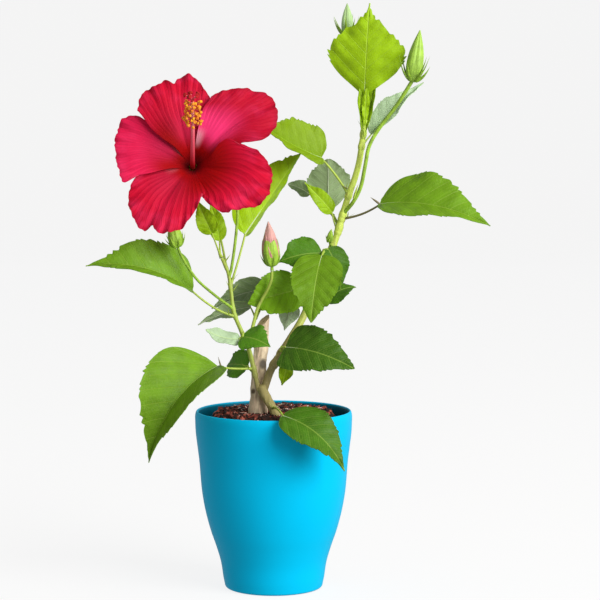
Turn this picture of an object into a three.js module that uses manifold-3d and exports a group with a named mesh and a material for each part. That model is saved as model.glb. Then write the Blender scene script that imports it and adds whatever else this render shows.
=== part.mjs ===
// A young hibiscus shrub in its plastic pot, in millimetres, +Z up.
// The origin is the centre of the pot's flat underside, and -Y is the plant's front.
import * as THREE from "three";
import { mergeVertices } from "three/addons/utils/BufferGeometryUtils.js";
import Module from "manifold-3d";

const wasm = await Module();
wasm.setup();

// Driving dimensions
const CLEAR = 0.3; // gap kept between neighbouring solids
const POT_HEIGHT = 149;
const POT_WALL = 3.4;
const POT_FLOOR = 4;
const POT_SIDES = 40;
const SOIL_TOP = 148;
const SOIL_PLATEAU = 36; // radius of the level soil round the stems
const SOIL_EDGE = 137; // height of the soil against the wall
const LEAF_THICKNESS = 1.1;
const PETAL_THICKNESS = 1;
const PETIOLE_RADIUS = 1.1;
const LEAF_ACROSS = [-1, -0.55, 0, 0.55, 1];
const LEAF_ALONG = [0.025, 0.1, 0.2, 0.32, 0.45, 0.59, 0.73, 0.87, 1];
const TOOTH = 0.045; // share of the half-width by which a leaf's margin is toothed
const TEETH = 5.5; // teeth along a leaf's margin
const LEAF_SHAPE = [0.45, 1.0]; // how fast a leaf widens from its base and narrows to its tip
const LEAF_FOLD = 12; // degrees by which a leaf's halves rise from its midrib
const LEAF_WAVE = 1.5; // height of the slow wave in a leaf's margin
const TIP_DRIP = 0.4; // share of its width that a leaf loses in its drawn-out tip
const PETIOLE_STEPS = 4;
const BUD_SIDES = 8;
const BUD_STALK_STEPS = 7;
const BLOOM_STALK_RADIUS = 1.2;
const BLOOM_STALK_STEPS = 18;
const ANTHERS = 12;
const STIGMA_PADS = 5;

const COLOURS = {
  pot: 0x0aa5dc,
  soil: 0x3a2420,
  bark: 0xa68a69,
  youngBark: 0x9c9470,
  greenStem: 0x9caf4c,
  leaf: 0x6b9933,
  leafBright: 0x93bd0a,
  leafDark: 0x40701a,
  leafGrey: 0x8ba57a,
  bud: 0x7f9a2c,
  pink: 0xe0abaa,
  petal: 0xcc1f3a,
  column: 0xe8809a,
};

// The pot's outer side from its foot to its lip: radius, height.
const POT_SIDE = [
  [42.2, 8],
  [44.4, 22],
  [48.2, 35],
  [52.5, 47.5],
  [57.0, 64.5],
  [60.0, 82],
  [62.0, 106],
  [63.2, 116],
  [65.0, 131],
  [65.5, 143],
];
const FOOT_RADIUS = 41;
const FOOT_FILLET = 2.5;
const LIP_RISE = 6; // height of the rounded lip above the top of the side

// Limbs, each with its axis from foot to tip and its radius at both ends.
const LIMBS = {
  trunk: {
    path: [
      [-13, -16, 148.3],
      [-12.5, -16, 165],
      [-12, -16, 184],
      [-10, -15.5, 206],
      [-8, -15, 225],
    ],
    radius: [6.2, 5],
    sides: 14,
    steps: 9,
    flare: 0.32,
    slant: [0.85, 0.5],
    colour: COLOURS.bark,
  },
  young_stem: {
    path: [
      [3, -28, 148.3],
      [-0.5, -27.7, 154],
      [-4.5, -27.3, 161],
      [-9.4, -27, 171],
    ],
    radius: [3.3, 3.5],
    sides: 12,
    steps: 6,
    flare: 0.3,
    level: true,
    swell: 1.1,
    colour: COLOURS.youngBark,
  },
  shoot_right: {
    path: [
      [-6.9, -27, 171.3],
      [-2, -25.5, 185],
      [6, -20, 198],
      [14, -12, 210],
      [24, -4, 226],
      [33, 3, 247],
      [42, 7, 270],
      [49, 10, 284],
      [54, 11, 298],
      [56.8, 11, 308],
      [62.4, 10, 327],
      [67.7, 9, 342],
      [70.9, 8, 354],
      [73.1, 7, 368],
      [75.1, 5, 385],
      [75.6, 4, 400],
    ],
    radius: [3.2, 2.4],
    sides: 9,
    steps: 26,
    levelFoot: true,
    colour: COLOURS.greenStem,
  },
  shoot_left: {
    path: [
      [-12.6, -27.6, 171.3],
      [-14.3, -28, 179],
      [-17, -28.5, 191],
      [-20, -29.5, 203],
      [-26, -30, 218],
      [-32, -29, 233],
      [-34.5, -27, 251],
      [-37, -25, 266],
      [-42, -22.5, 277],
    ],
    radius: [2.1, 1.3],
    sides: 8,
    steps: 16,
    levelFoot: true,
    colour: COLOURS.greenStem,
  },
  shoot_centre: {
    path: [
      [-20, -27.3, 208],
      [-17.8, -25, 217],
      [-15.5, -22, 226],
      [-13, -18, 235],
      [-9, -15.5, 243],
      [-4.5, -16, 251],
      [-1.5, -16.7, 259],
      [-1, -17, 266],
    ],
    radius: [1.5, 1.2],
    sides: 8,
    steps: 12,
    colour: COLOURS.greenStem,
  },
};

const UP = new THREE.Vector3(0, 0, 1);
const vec = (p) => new THREE.Vector3(...p);
const unit = (p) => vec(p).normalize();
const curveOf = (path) => new THREE.CatmullRomCurve3(path.map(vec));

// A closed skin over rings of equal length. Each end is closed by a strip that runs across its
// ring, between the points that lie the same number of steps from the ring's start and its end.
function skin(rings) {
  const sides = rings[0].length;
  const index = [];
  for (let i = 0; i + 1 < rings.length; i++)
    for (let j = 0; j < sides; j++) {
      const a = i * sides + j;
      const b = i * sides + ((j + 1) % sides);
      index.push(a, b, a + sides, b, b + sides, a + sides);
    }
  const last = (rings.length - 1) * sides;
  for (let low = 0, high = sides - 1; low + 1 < high; low++, high--) {
    index.push(high, low + 1, low);
    index.push(last + low, last + low + 1, last + high);
    if (low + 2 === high) break;
    index.push(high, high - 1, low + 1);
    index.push(last + low + 1, last + high - 1, last + high);
  }
  return new THREE.BufferGeometry().setFromPoints(rings.flat()).setIndex(index);
}

// A geometry as a solid that can be joined or cut.
function solidFrom(geometry) {
  const bare = geometry.clone();
  bare.deleteAttribute("normal");
  bare.deleteAttribute("uv");
  const merged = mergeVertices(bare, 1e-4);
  const whole = [];
  for (let i = 0; i < merged.index.count; i += 3) {
    const [a, b, c] = merged.index.array.slice(i, i + 3);
    if (a !== b && b !== c && a !== c) whole.push(a, b, c);
  }
  return new wasm.Manifold(
    new wasm.Mesh({
      numProp: 3,
      vertProperties: new Float32Array(merged.attributes.position.array),
      triVerts: new Uint32Array(whole),
    }),
  );
}

// The geometry of a solid.
function geometryFrom(solid) {
  const mesh = solid.getMesh();
  const positions = new Float32Array(mesh.numVert * 3);
  for (let i = 0; i < mesh.numVert; i++)
    positions.set(mesh.vertProperties.subarray(i * mesh.numProp, i * mesh.numProp + 3), i * 3);
  return new THREE.BufferGeometry()
    .setAttribute("position", new THREE.BufferAttribute(positions, 3))
    .setIndex(new THREE.BufferAttribute(mesh.triVerts, 1));
}

// Several geometries that run into each other, joined into one.
function joined(geometries) {
  const solids = geometries.map(solidFrom);
  return geometryFrom(solids.reduce((all, next) => all.add(next)));
}

// A turned piece: its profile of radius and height swept round the Z axis.
function turned(profile) {
  const points = profile.map(([r, z]) => new THREE.Vector2(r, z));
  const lathe = new THREE.LatheGeometry(points, POT_SIDES).rotateX(Math.PI / 2);
  return geometryFrom(solidFrom(lathe));
}

// Rings of a round tube along a curve, whose radius is a function of the way along it.
function tubeRings(curve, steps, sides, radiusAt) {
  const frames = curve.computeFrenetFrames(steps);
  return frames.tangents.map((tangent, i) => {
    const centre = curve.getPointAt(i / steps);
    const radius = radiusAt(i / steps);
    return Array.from({ length: sides }, (_, j) => {
      const turn = (2 * Math.PI * j) / sides;
      return centre
        .clone()
        .addScaledVector(frames.normals[i], radius * Math.cos(turn))
        .addScaledVector(frames.binormals[i], radius * Math.sin(turn));
    });
  });
}

// Slides a ring's points along a direction onto the level plane at a height.
function levelRing(ring, height, along) {
  ring.forEach((p) => p.addScaledVector(along, (height - p.z) / along.z));
}

// One tapering limb. Its foot is cut level, and its tip level or on a slant where the row says so.
function limbGeometry(row) {
  const curve = curveOf(row.path);
  const [foot, tip] = row.radius;
  const flareLength = 2.2 * foot;
  const radiusAt = (u) => {
    const height = u * curve.getLength();
    const flare = (row.flare ?? 0) * Math.exp(-height / flareLength);
    const swell = (row.swell ?? 0) * u ** 4;
    return THREE.MathUtils.lerp(foot, tip, u) * (1 + flare) + swell;
  };
  const rings = tubeRings(curve, row.steps, row.sides, radiusAt);
  const cutFoot = row.levelFoot || row.flare;
  if (cutFoot) levelRing(rings[0], row.path[0][2], curve.getTangentAt(0));
  if (row.level) levelRing(rings.at(-1), row.path.at(-1)[2], curve.getTangentAt(1));
  if (row.slant) {
    const [x, y, z] = row.path.at(-1);
    const [rightward, backward] = row.slant;
    rings.at(-1).forEach((p) => {
      p.z = z + rightward * (p.x - x) + backward * (p.y - y);
    });
  }
  return skin(rings);
}

// The axis point of a limb at a height, with the limb's direction and radius there.
function limbAt(name, height) {
  const { path, radius } = LIMBS[name];
  const curve = curveOf(path);
  let low = 0;
  let high = 1;
  for (let i = 0; i < 24; i++) {
    const middle = (low + high) / 2;
    if (curve.getPointAt(middle).z < height) low = middle;
    else high = middle;
  }
  const along = (low + high) / 2;
  return {
    point: curve.getPointAt(along),
    tangent: curve.getTangentAt(along),
    radius: THREE.MathUtils.lerp(radius[0], radius[1], along),
  };
}

// Where a stalk that heads for a point leaves a limb, just clear of its bark.
function rootOn(name, height, towards, stalkRadius) {
  const limb = limbAt(name, height);
  const way = towards.clone().sub(limb.point).normalize();
  const slope = Math.abs(way.dot(limb.tangent));
  const across = Math.sqrt(1 - slope * slope);
  const distance = (limb.radius + CLEAR + stalkRadius * slope) / across;
  return limb.point.clone().addScaledVector(way, distance);
}

// The end of a limb, a clearance beyond its tip.
function beyondTip(name) {
  const curve = curveOf(LIMBS[name].path);
  return curve.getPointAt(1).addScaledVector(curve.getTangentAt(1), CLEAR);
}

// A stalk's first point: at a given root, past a limb's tip, or on a limb at a height.
function stalkStart(row, towards, stalkRadius) {
  if (row.root) return vec(row.root);
  if (row.at === "tip") return beyondTip(row.limb);
  return rootOn(row.limb, row.at, towards, stalkRadius);
}

// The rings of a thin closed slab whose middle surface is a function of the way along and across.
function slabRings(surface, along, across, thickness) {
  const step = 1e-3;
  return along.map((s) => {
    const top = [];
    const bottom = [];
    for (const t of across) {
      const p = surface(s, t);
      const acrossWay = surface(s, t + step).sub(surface(s, t - step));
      const alongWay = surface(s + step, t).sub(surface(s - step, t));
      const normal = acrossWay.cross(alongWay).setLength(thickness / 2);
      top.push(p.clone().add(normal));
      bottom.unshift(p.clone().sub(normal));
    }
    return [...top, ...bottom];
  });
}

// The share of its full half-width that a leaf has at a share of its length. It rises and falls
// as powers of the way from the base and from the tip, and is drawn out to a narrow tip.
function leafHalfWidth(s, [rise, fall]) {
  const inside = THREE.MathUtils.clamp(s, 0.012, 0.995);
  const widest = rise / (rise + fall);
  const full = widest ** rise * (1 - widest) ** fall;
  const drip = 1 - TIP_DRIP * THREE.MathUtils.smoothstep(inside, 0.6, 1);
  return (inside ** rise * (1 - inside) ** fall * drip) / full;
}

// A leaf's blade. Its midrib arches towards the side the leaf faces, and its halves fold up from it.
function leafSurface(row) {
  const base = vec(row.base);
  const tip = vec(row.tip);
  const along = tip.clone().sub(base);
  const length = along.length();
  along.normalize();
  const face = unit(row.face);
  face.addScaledVector(along, -face.dot(along)).normalize();
  const side = along.clone().cross(face);
  const fold = THREE.MathUtils.degToRad(row.fold ?? LEAF_FOLD);
  const surface = (s, t) => {
    const bulge = 4 * s * (1 - s);
    const tooth = 1 + TOOTH * Math.cos(2 * Math.PI * TEETH * s);
    const reach = t * row.width * 0.5 * leafHalfWidth(s, row.shape ?? LEAF_SHAPE) * tooth;
    const wave = LEAF_WAVE * Math.sin(9 * s + 2 * Math.sign(t)) * t * t;
    return base
      .clone()
      .addScaledVector(along, s * length)
      .addScaledVector(side, reach * Math.cos(fold))
      .addScaledVector(face, Math.abs(reach) * Math.sin(fold) + (row.arch + wave) * bulge);
  };
  return { surface, face };
}

// The rings of a leaf's stalk, with as many points as the rings of its blade.
function petioleRings(start, bend, base, face) {
  const curve = new THREE.QuadraticBezierCurve3(start, bend, base);
  const count = 2 * LEAF_ACROSS.length;
  const rings = [];
  for (let i = 0; i < PETIOLE_STEPS; i++) {
    const centre = curve.getPointAt(i / PETIOLE_STEPS);
    const tangent = curve.getTangentAt(i / PETIOLE_STEPS);
    const up = face.clone().addScaledVector(tangent, -face.dot(tangent)).normalize();
    const side = tangent.clone().cross(up);
    rings.push(
      Array.from({ length: count }, (_, j) => {
        const turn = ((j + 0.5) / count) * 2 * Math.PI - Math.PI / 2;
        return centre
          .clone()
          .addScaledVector(side, PETIOLE_RADIUS * Math.sin(turn))
          .addScaledVector(up, PETIOLE_RADIUS * Math.cos(turn));
      }),
    );
  }
  return rings;
}

// A whole leaf: its stalk runs on into its blade as one closed skin.
function leafGeometry(row) {
  const { surface, face } = leafSurface(row);
  const base = vec(row.base);
  const bend = row.bend ? vec(row.bend) : undefined;
  const start = stalkStart(row, bend ?? base, PETIOLE_RADIUS);
  const middle = bend ?? start.clone().lerp(base, 0.5);
  return skin([
    ...petioleRings(start, middle, base, face),
    ...slabRings(surface, LEAF_ALONG, LEAF_ACROSS, LEAF_THICKNESS),
  ]);
}

// A spur of a limb, which carries the leaves of one tuft.
function spurGeometry(spur) {
  const end = vec(spur.end);
  const start = stalkStart(spur, end, spur.radius);
  const past = end.clone().addScaledVector(end.clone().sub(start).normalize(), 1.5);
  const curve = new THREE.LineCurve3(start, past);
  return skin(tubeRings(curve, 3, 8, (u) => spur.radius * (1 - 0.15 * u)));
}

// Leaves that leave a limb singly, each with its stalk's root, its blade's ends and the way it faces.
const SINGLE_LEAVES = {
  leaf_left_low: {
    limb: "shoot_left",
    at: 187,
    bend: [-33, -38, 187],
    base: [-45, -45, 191],
    tip: [-99, -78, 117],
    face: [-0.31, -0.75, 0.58],
    width: 76,
    shape: [0.35, 1],
    fold: 36,
    arch: 19,
    colour: COLOURS.leaf,
  },
  leaf_left_high: {
    limb: "shoot_left",
    at: 230,
    bend: [-47, -36, 234],
    base: [-65, -43, 252],
    tip: [-149, -66, 274],
    face: [0.15, -0.6, 0.78],
    width: 53,
    fold: 30,
    arch: 12,
    colour: COLOURS.leaf,
  },
  leaf_behind_left: {
    limb: "shoot_left",
    at: 182,
    bend: [-21, -20, 187],
    base: [-21, -12, 187],
    tip: [-39, 12, 185],
    face: [-0.6, -0.6, 0.5],
    width: 27,
    fold: 6,
    arch: 3,
    colour: COLOURS.leafDark,
  },
  leaf_pot: {
    limb: "young_stem",
    at: 154,
    bend: [3, -44, 158],
    base: [8, -60, 152.5],
    tip: [58, -75, 110],
    face: [0.1, -0.6, 0.8],
    width: 40,
    fold: 8,
    arch: 12,
    colour: COLOURS.leafDark,
  },
  leaf_right: {
    limb: "shoot_right",
    at: 308,
    bend: [74, 4, 310],
    base: [88, -2, 321],
    tip: [177, -30, 304],
    face: [0, -0.62, 0.79],
    width: 58,
    fold: 20,
    arch: 10,
    colour: COLOURS.leaf,
  },
  leaf_up_left: {
    limb: "shoot_right",
    at: 327,
    bend: [54, 4, 343],
    base: [40, -2, 359],
    tip: [-8, -25, 386],
    face: [0.1, -0.75, 0.65],
    width: 46,
    shape: [0.32, 0.8],
    fold: 33,
    arch: -3,
    colour: COLOURS.leafBright,
  },
  leaf_long: {
    limb: "shoot_left",
    at: 254,
    bend: [-28, -18, 276],
    base: [-23, -15, 296],
    tip: [22, 8, 362],
    face: [-0.58, -0.7, 0.4],
    width: 46,
    shape: [0.4, 0.7],
    fold: 42,
    arch: 0,
    colour: COLOURS.leafBright,
  },
  leaf_centre_right: {
    limb: "shoot_right",
    at: 243,
    bend: [38, 9, 240],
    base: [42, 12, 239],
    tip: [69, 20, 250],
    face: [0, -0.6, 0.8],
    width: 26,
    fold: 10,
    arch: 4,
    colour: COLOURS.leafDark,
  },
  leaf_back_centre: {
    limb: "shoot_right",
    at: 262,
    bend: [41, 22, 268],
    base: [41, 34, 270],
    tip: [37, 92, 256],
    face: [0, 0.2, 0.98],
    width: 38,
    fold: 10,
    arch: 7,
    colour: COLOURS.leaf,
  },
  leaf_back_low: {
    limb: "shoot_right",
    at: 190,
    bend: [12, -4, 194],
    base: [22, 12, 196],
    tip: [34, 64, 188],
    face: [0, 0.25, 0.97],
    width: 34,
    fold: 10,
    arch: 7,
    colour: COLOURS.leafDark,
  },
  leaf_back_mid: {
    limb: "shoot_right",
    at: 236,
    bend: [19, 14, 237],
    base: [4, 26, 236],
    tip: [-8, 78, 236],
    face: [0, 0.25, 0.97],
    width: 32,
    fold: 10,
    arch: 7,
    colour: COLOURS.leaf,
  },
  leaf_back_top: {
    limb: "shoot_right",
    at: 378,
    bend: [74, 16, 394],
    base: [77, 25, 415],
    tip: [81, 56, 460],
    face: [0.1, -0.78, 0.6],
    width: 27,
    shape: [0.9, 0.9],
    fold: 14,
    arch: -5,
    colour: COLOURS.leafBright,
  },
  leaf_back_left: {
    limb: "shoot_left",
    at: 270,
    bend: [-42, -8, 290],
    base: [-48, 6, 308],
    tip: [-84, 42, 348],
    face: [0.1, 0.6, 0.8],
    width: 40,
    fold: 10,
    arch: 7,
    colour: COLOURS.leaf,
  },
  leaf_narrow: {
    limb: "shoot_right",
    at: 297,
    bend: [50, 13, 305],
    base: [49, 14, 313],
    tip: [26, 8, 338],
    face: [-0.1, -0.85, 0.5],
    width: 15,
    fold: 8,
    arch: 2,
    colour: COLOURS.leafBright,
  },
  leaf_top: {
    limb: "shoot_right",
    at: "tip",
    bend: [76, 3, 403],
    base: [75, 2, 407],
    tip: [79, -8, 485],
    face: [-0.1, -0.97, 0.1],
    width: 63,
    shape: [1.6, 1.9],
    fold: -9,
    arch: 6,
    colour: COLOURS.leafBright,
  },
  leaf_top_back: {
    limb: "shoot_right",
    at: 368,
    bend: [77, 11, 373],
    base: [81, 12, 378],
    tip: [125, 22, 421],
    face: [-0.425, -0.79, 0.44],
    width: 24,
    fold: 38,
    arch: 2,
    colour: COLOURS.leafGrey,
  },
};

// Tufts of leaves that share a spur of a limb.
const TUFTS = {
  foliage_left_mid: {
    spur: { limb: "shoot_left", at: 214, end: [-24, -36, 216], radius: 1.3 },
    leaves: [
      {
        base: [-25, -39, 214],
        tip: [-2, -50, 207],
        face: [0.1, -0.72, 0.69],
        width: 28,
        fold: 4,
        arch: 3,
      },
      {
        base: [-27, -38, 212],
        tip: [-54, -50, 221],
        face: [-0.1, -0.65, 0.75],
        width: 17,
        shape: [0.3, 0.5],
        fold: 4,
        arch: -3,
      },
    ],
    colour: COLOURS.leafDark,
  },
  foliage_back: {
    spur: { limb: "shoot_centre", at: 214, end: [-15, 3, 225], radius: 1.3 },
    leaves: [
      {
        base: [-2, 12, 250],
        tip: [-52, 12, 233],
        face: [-0.25, 0.72, 0.65],
        width: 29,
        fold: 6,
        arch: 5,
      },
      {
        base: [-19, 9, 235],
        tip: [-63, 2, 220],
        face: [-0.25, 0.72, 0.65],
        width: 18,
        fold: 6,
        arch: 3,
      },
    ],
    colour: COLOURS.leafGrey,
  },
  foliage_centre: {
    spur: { limb: "shoot_right", at: 278, end: [42, -1, 282], radius: 1.5 },
    leaves: [
      {
        base: [40, -3, 280],
        tip: [4, -10, 273],
        face: [0, -0.8, 0.6],
        width: 34,
        fold: 6,
        arch: 4,
      },
      {
        base: [40, -12, 279],
        tip: [31, -39, 226],
        face: [-0.12, -0.94, 0.32],
        width: 42,
        shape: [0.4, 0.75],
        fold: 4,
        arch: 9,
      },
      {
        base: [45, -1, 284],
        tip: [56, 4, 249],
        face: [0.3, -0.85, 0.4],
        width: 25,
        shape: [0.3, 0.9],
        fold: 0,
        arch: 6,
      },
    ],
    colour: COLOURS.leafDark,
  },
  foliage_centre_low: {
    spur: { limb: "shoot_right", at: 243, end: [26, -4, 247], radius: 1.4 },
    leaves: [
      {
        base: [22, -2, 250],
        tip: [-21, -12, 239],
        face: [-0.1, -0.94, 0.32],
        width: 40,
        shape: [0.4, 0.75],
        fold: 16,
        arch: 2,
      },
      {
        base: [15, 6, 236],
        tip: [9, 16, 214],
        face: [0, 0.9, 0.4],
        width: 18,
        fold: 6,
        arch: 2,
      },
    ],
    colour: COLOURS.leaf,
  },
  foliage_low_right: {
    spur: { limb: "shoot_right", at: 199, end: [7, -27, 204], radius: 1.4 },
    leaves: [
      {
        base: [10, -32, 205],
        tip: [66, -56, 190],
        face: [0.05, -0.85, 0.53],
        width: 44,
        shape: [0.14, 0.62],
        fold: 5,
        arch: 8,
      },
      {
        base: [12, -26, 192],
        tip: [7, -20, 172],
        face: [0.2, -0.9, 0.3],
        width: 12,
        fold: 6,
        arch: 2,
      },
    ],
    colour: COLOURS.leafDark,
  },
  foliage_left_tip: {
    spur: { limb: "shoot_left", at: "tip", end: [-43.5, -21.8, 280], radius: 1.2 },
    leaves: [
      {
        base: [-50, -19, 297],
        tip: [-62, -24, 325],
        face: [-0.2, -0.9, 0.4],
        width: 17,
        fold: 12,
        arch: 3,
      },
      {
        base: [-44, -14, 291],
        tip: [-52, -8, 322],
        face: [0.2, -0.9, 0.4],
        width: 15,
        fold: 10,
        arch: 3,
      },
    ],
    colour: COLOURS.leafBright,
  },
  foliage_upper_back: {
    spur: { limb: "shoot_right", at: 301, end: [50, 20, 310], radius: 1.3 },
    leaves: [
      {
        base: [45, 24, 314],
        tip: [46, 36, 357],
        face: [0.1, 0.97, -0.2],
        width: 37,
        shape: [0.75, 0.5],
        fold: 6,
        arch: 3,
      },
      {
        base: [30, 27, 328],
        tip: [12, 32, 336],
        face: [-0.1, 0.78, 0.62],
        width: 15,
        shape: [0.4, 0.5],
        fold: 6,
        arch: 2,
      },
    ],
    colour: COLOURS.leafGrey,
  },
};

// Buds: the stalk's root, its bends, and the bud's two ends and radius.
const BUDS = {
  bud_top_right: {
    limb: "shoot_right",
    at: 312,
    bends: [
      [66, 3, 322],
      [72, 1, 334],
      [76, 0, 353],
      [79, 0, 368],
      [86, 0, 381],
      [101, -3, 401],
    ],
    base: [114, -8, 421],
    tip: [120, -12, 463],
    radius: 6.8,
    colour: COLOURS.bud,
  },
  bud_top_left: {
    limb: "shoot_right",
    at: 390,
    bends: [
      [74, 8, 396],
      [72, 10, 415],
      [64, 12, 440],
    ],
    base: [61, 12, 459],
    tip: [61, 14, 486],
    radius: 5,
    colour: COLOURS.bud,
  },
  bud_pink: {
    limb: "shoot_centre",
    at: "tip",
    bends: [[-1, -17.1, 268]],
    base: [-1, -17.2, 270],
    tip: [-4, -20, 307],
    radius: 7,
    colour: COLOURS.pink,
  },
  bud_left: {
    limb: "shoot_left",
    at: 236,
    bends: [
      [-47, -40, 248],
      [-62, -52, 263],
      [-73, -58, 281],
    ],
    base: [-76, -60, 288],
    tip: [-81, -62, 310],
    radius: 6,
    colour: COLOURS.bud,
  },
  bud_small: {
    limb: "shoot_right",
    at: 284,
    bends: [[47, 4, 287]],
    base: [46, 1, 289],
    tip: [48, -3, 300],
    radius: 2.6,
    colour: COLOURS.bud,
  },
};

// The bloom: the foot of its funnel, the way it looks, and each petal's turn round the axis and
// reach. Its waist and its rim give the degrees that it spreads clockwise and counter-clockwise,
// and its corners the share of its reach that it loses at either side of the rim.
const BLOOM = {
  foot: [-64.8, -36, 350],
  axis: [-0.02, -0.94, 0.342],
  depth: 30,
  mouth: 16,
  petals: {
    petal_top: {
      turn: 107,
      reach: 71,
      waist: [32, 33],
      rim: [31, 31],
      corners: [0.21, 0.18],
    },
    petal_upper_right: {
      turn: 41,
      reach: 83,
      waist: [20, 33],
      rim: [23, 31],
      corners: [0.25, 0.34],
    },
    petal_lower_right: {
      turn: -19,
      reach: 69,
      waist: [50, 45],
      rim: [53, 34],
      corners: [0.54, 0.36],
    },
    petal_lower_left: {
      turn: -123,
      reach: 69,
      waist: [40, 54],
      rim: [40, 49],
      corners: [0.38, 0.52],
    },
    petal_left: {
      turn: 163,
      reach: 62,
      waist: [28, 36],
      rim: [22, 38],
      corners: [0.1, 0.12],
    },
  },
};
const PETAL_ALONG = [0.05, 0.15, 0.3, 0.46, 0.62, 0.78, 0.91, 1];
const PETAL_ACROSS = [-1, -0.7, -0.35, 0, 0.35, 0.7, 1];
const PETAL_TWIST = 3; // how far a petal's counter-clockwise edge stands before its neighbour
const PETAL_RUFFLE = 1.2;
const CLAW_GAP = 2.5; // degrees left free beside each petal's claw
// The bloom's stalk. It starts in the fork, just clear of the left shoot, and runs to the calyx.
const STALK = {
  root: [-34.6, -25.4, 266.6],
  bends: [
    [-33.9, -25.3, 270],
    [-31.8, -24, 284],
    [-30, -22, 300],
    [-29, -21, 315],
    [-32, -19, 330],
    [-44, -18, 343],
  ],
};
// A bud's outline: the share of its length, and of its radius there.
const BUD_SHAPE = [
  [0, 0.35],
  [0.1, 0.78],
  [0.28, 1],
  [0.48, 0.94],
  [0.68, 0.7],
  [0.86, 0.36],
  [1, 0.05],
];

// The pot: a turned wall that swells from a narrow foot, with a rounded lip and a solid floor.
function potGeometry() {
  const side = new THREE.SplineCurve(POT_SIDE.map(([r, z]) => new THREE.Vector2(r, z)));
  const outer = side.getPoints(8).map((p) => [p.x, p.y]);
  const [lipRadius, lipFoot] = POT_SIDE.at(-1);
  const lipMiddle = lipRadius - POT_WALL / 2;
  const lip = [30, 70, 110, 150].map((degrees) => {
    const turn = THREE.MathUtils.degToRad(degrees);
    return [
      lipMiddle + (POT_WALL / 2) * Math.cos(turn),
      POT_HEIGHT - LIP_RISE + LIP_RISE * Math.sin(turn),
    ];
  });
  return turned([
    [0, 0],
    [FOOT_RADIUS - FOOT_FILLET, 0],
    [FOOT_RADIUS - 0.7, FOOT_FILLET * 0.4],
    [FOOT_RADIUS, FOOT_FILLET],
    ...outer,
    ...lip,
    [lipRadius - POT_WALL, lipFoot],
    ...innerWall(0).reverse(),
    [0, POT_FLOOR],
  ]);
}

// The pot's inner side from its floor up, moved in by an inset.
function innerWall(inset) {
  const heights = [POT_FLOOR + inset, 30, 64.5, 106, SOIL_EDGE];
  const side = new THREE.SplineCurve(POT_SIDE.map(([r, z]) => new THREE.Vector2(r, z)));
  const samples = side.getPoints(60);
  return heights.map((height) => {
    const above = samples.find((p) => p.y >= height) ?? samples.at(-1);
    return [above.x - POT_WALL - inset, height];
  });
}

// The soil: it fills the pot, level round the stems and falling away to the wall.
function soilGeometry() {
  const wall = innerWall(CLEAR);
  const [edgeRadius] = wall.at(-1);
  return turned([
    [0, POT_FLOOR + CLEAR],
    ...wall,
    [edgeRadius - 11, SOIL_TOP - 4.5],
    [SOIL_PLATEAU, SOIL_TOP],
    [0, SOIL_TOP],
  ]);
}

// A bud on its stalk, as one skin whose rings swell into the bud.
function budGeometry(row) {
  const base = vec(row.base);
  const tip = vec(row.tip);
  const bends = row.bends.map(vec);
  const start = stalkStart(row, bends[0], PETIOLE_RADIUS);
  const stalk = new THREE.CatmullRomCurve3([start, ...bends, base]);
  const rings = tubeRings(stalk, BUD_STALK_STEPS, BUD_SIDES, () => PETIOLE_RADIUS).slice(0, -1);
  const axis = tip.clone().sub(base);
  const across = rings.at(-1)[0].clone().sub(stalk.getPointAt(1 - 1 / BUD_STALK_STEPS));
  across.addScaledVector(axis, -across.dot(axis) / axis.lengthSq()).normalize();
  const sideways = axis.clone().normalize().cross(across);
  for (const [share, width] of BUD_SHAPE) {
    const centre = base.clone().addScaledVector(axis, share);
    rings.push(
      Array.from({ length: BUD_SIDES }, (_, j) => {
        const turn = (2 * Math.PI * j) / BUD_SIDES;
        return centre
          .clone()
          .addScaledVector(across, row.radius * width * Math.cos(turn))
          .addScaledVector(sideways, row.radius * width * Math.sin(turn));
      }),
    );
  }
  return skin(rings);
}

// The bloom's own directions: out along its axis, up across it, and to the right.
function bloomFrame() {
  const out = unit(BLOOM.axis);
  const up = UP.clone().addScaledVector(out, -UP.dot(out)).normalize();
  return { foot: vec(BLOOM.foot), out, up, right: up.clone().cross(out) };
}

// The depth of the funnel at a radius: steep in the throat, nearly level at the rim.
function funnelHeight(radius) {
  const reflex = 7 * Math.max(0, (radius - 45) / 35) ** 2;
  return BLOOM.depth * (1 - Math.exp(-radius / BLOOM.mouth)) - reflex;
}

// Half the free angle between a petal and its neighbour on one side, less the claw's gap.
function clawSpread(turn, side) {
  const gaps = Object.values(BLOOM.petals)
    .map((petal) => THREE.MathUtils.euclideanModulo(side * (petal.turn - turn), 360))
    .filter((gap) => gap > 0);
  return Math.min(...gaps) / 2 - CLAW_GAP;
}

// A petal: a wedge of the funnel, rounded at its end, one edge before its neighbour.
function petalGeometry({ turn, reach, waist, rim, corners }) {
  const { foot, out, up, right } = bloomFrame();
  const claws = [clawSpread(turn, -1), clawSpread(turn, 1)];
  const { degToRad, lerp, smoothstep } = THREE.MathUtils;
  const surface = (s, t) => {
    const side = t > 0 ? 0 : 1;
    const inner = lerp(claws[side], waist[side], smoothstep(s, 0.18, 0.4));
    const half = lerp(inner, rim[side], smoothstep(s, 0.45, 1));
    const angle = degToRad(turn - t * half);
    const radius = reach * s * (1 - corners[side] * t * t * s);
    const lead = -PETAL_TWIST * t * smoothstep(s, 0.08, 0.3);
    const ruffle = PETAL_RUFFLE * Math.sin(13 * angle + 1) * s ** 3;
    return foot
      .clone()
      .addScaledVector(right, radius * Math.cos(angle))
      .addScaledVector(up, radius * Math.sin(angle))
      .addScaledVector(out, funnelHeight(radius) + lead + ruffle);
  };
  return skin(slabRings(surface, PETAL_ALONG, PETAL_ACROSS, PETAL_THICKNESS));
}

// A point of the bloom by its place out along the axis and up across it.
function bloomPoint(along, upward, rightward = 0) {
  const { foot, out, up, right } = bloomFrame();
  return foot
    .addScaledVector(out, along)
    .addScaledVector(up, upward)
    .addScaledVector(right, rightward);
}

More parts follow.
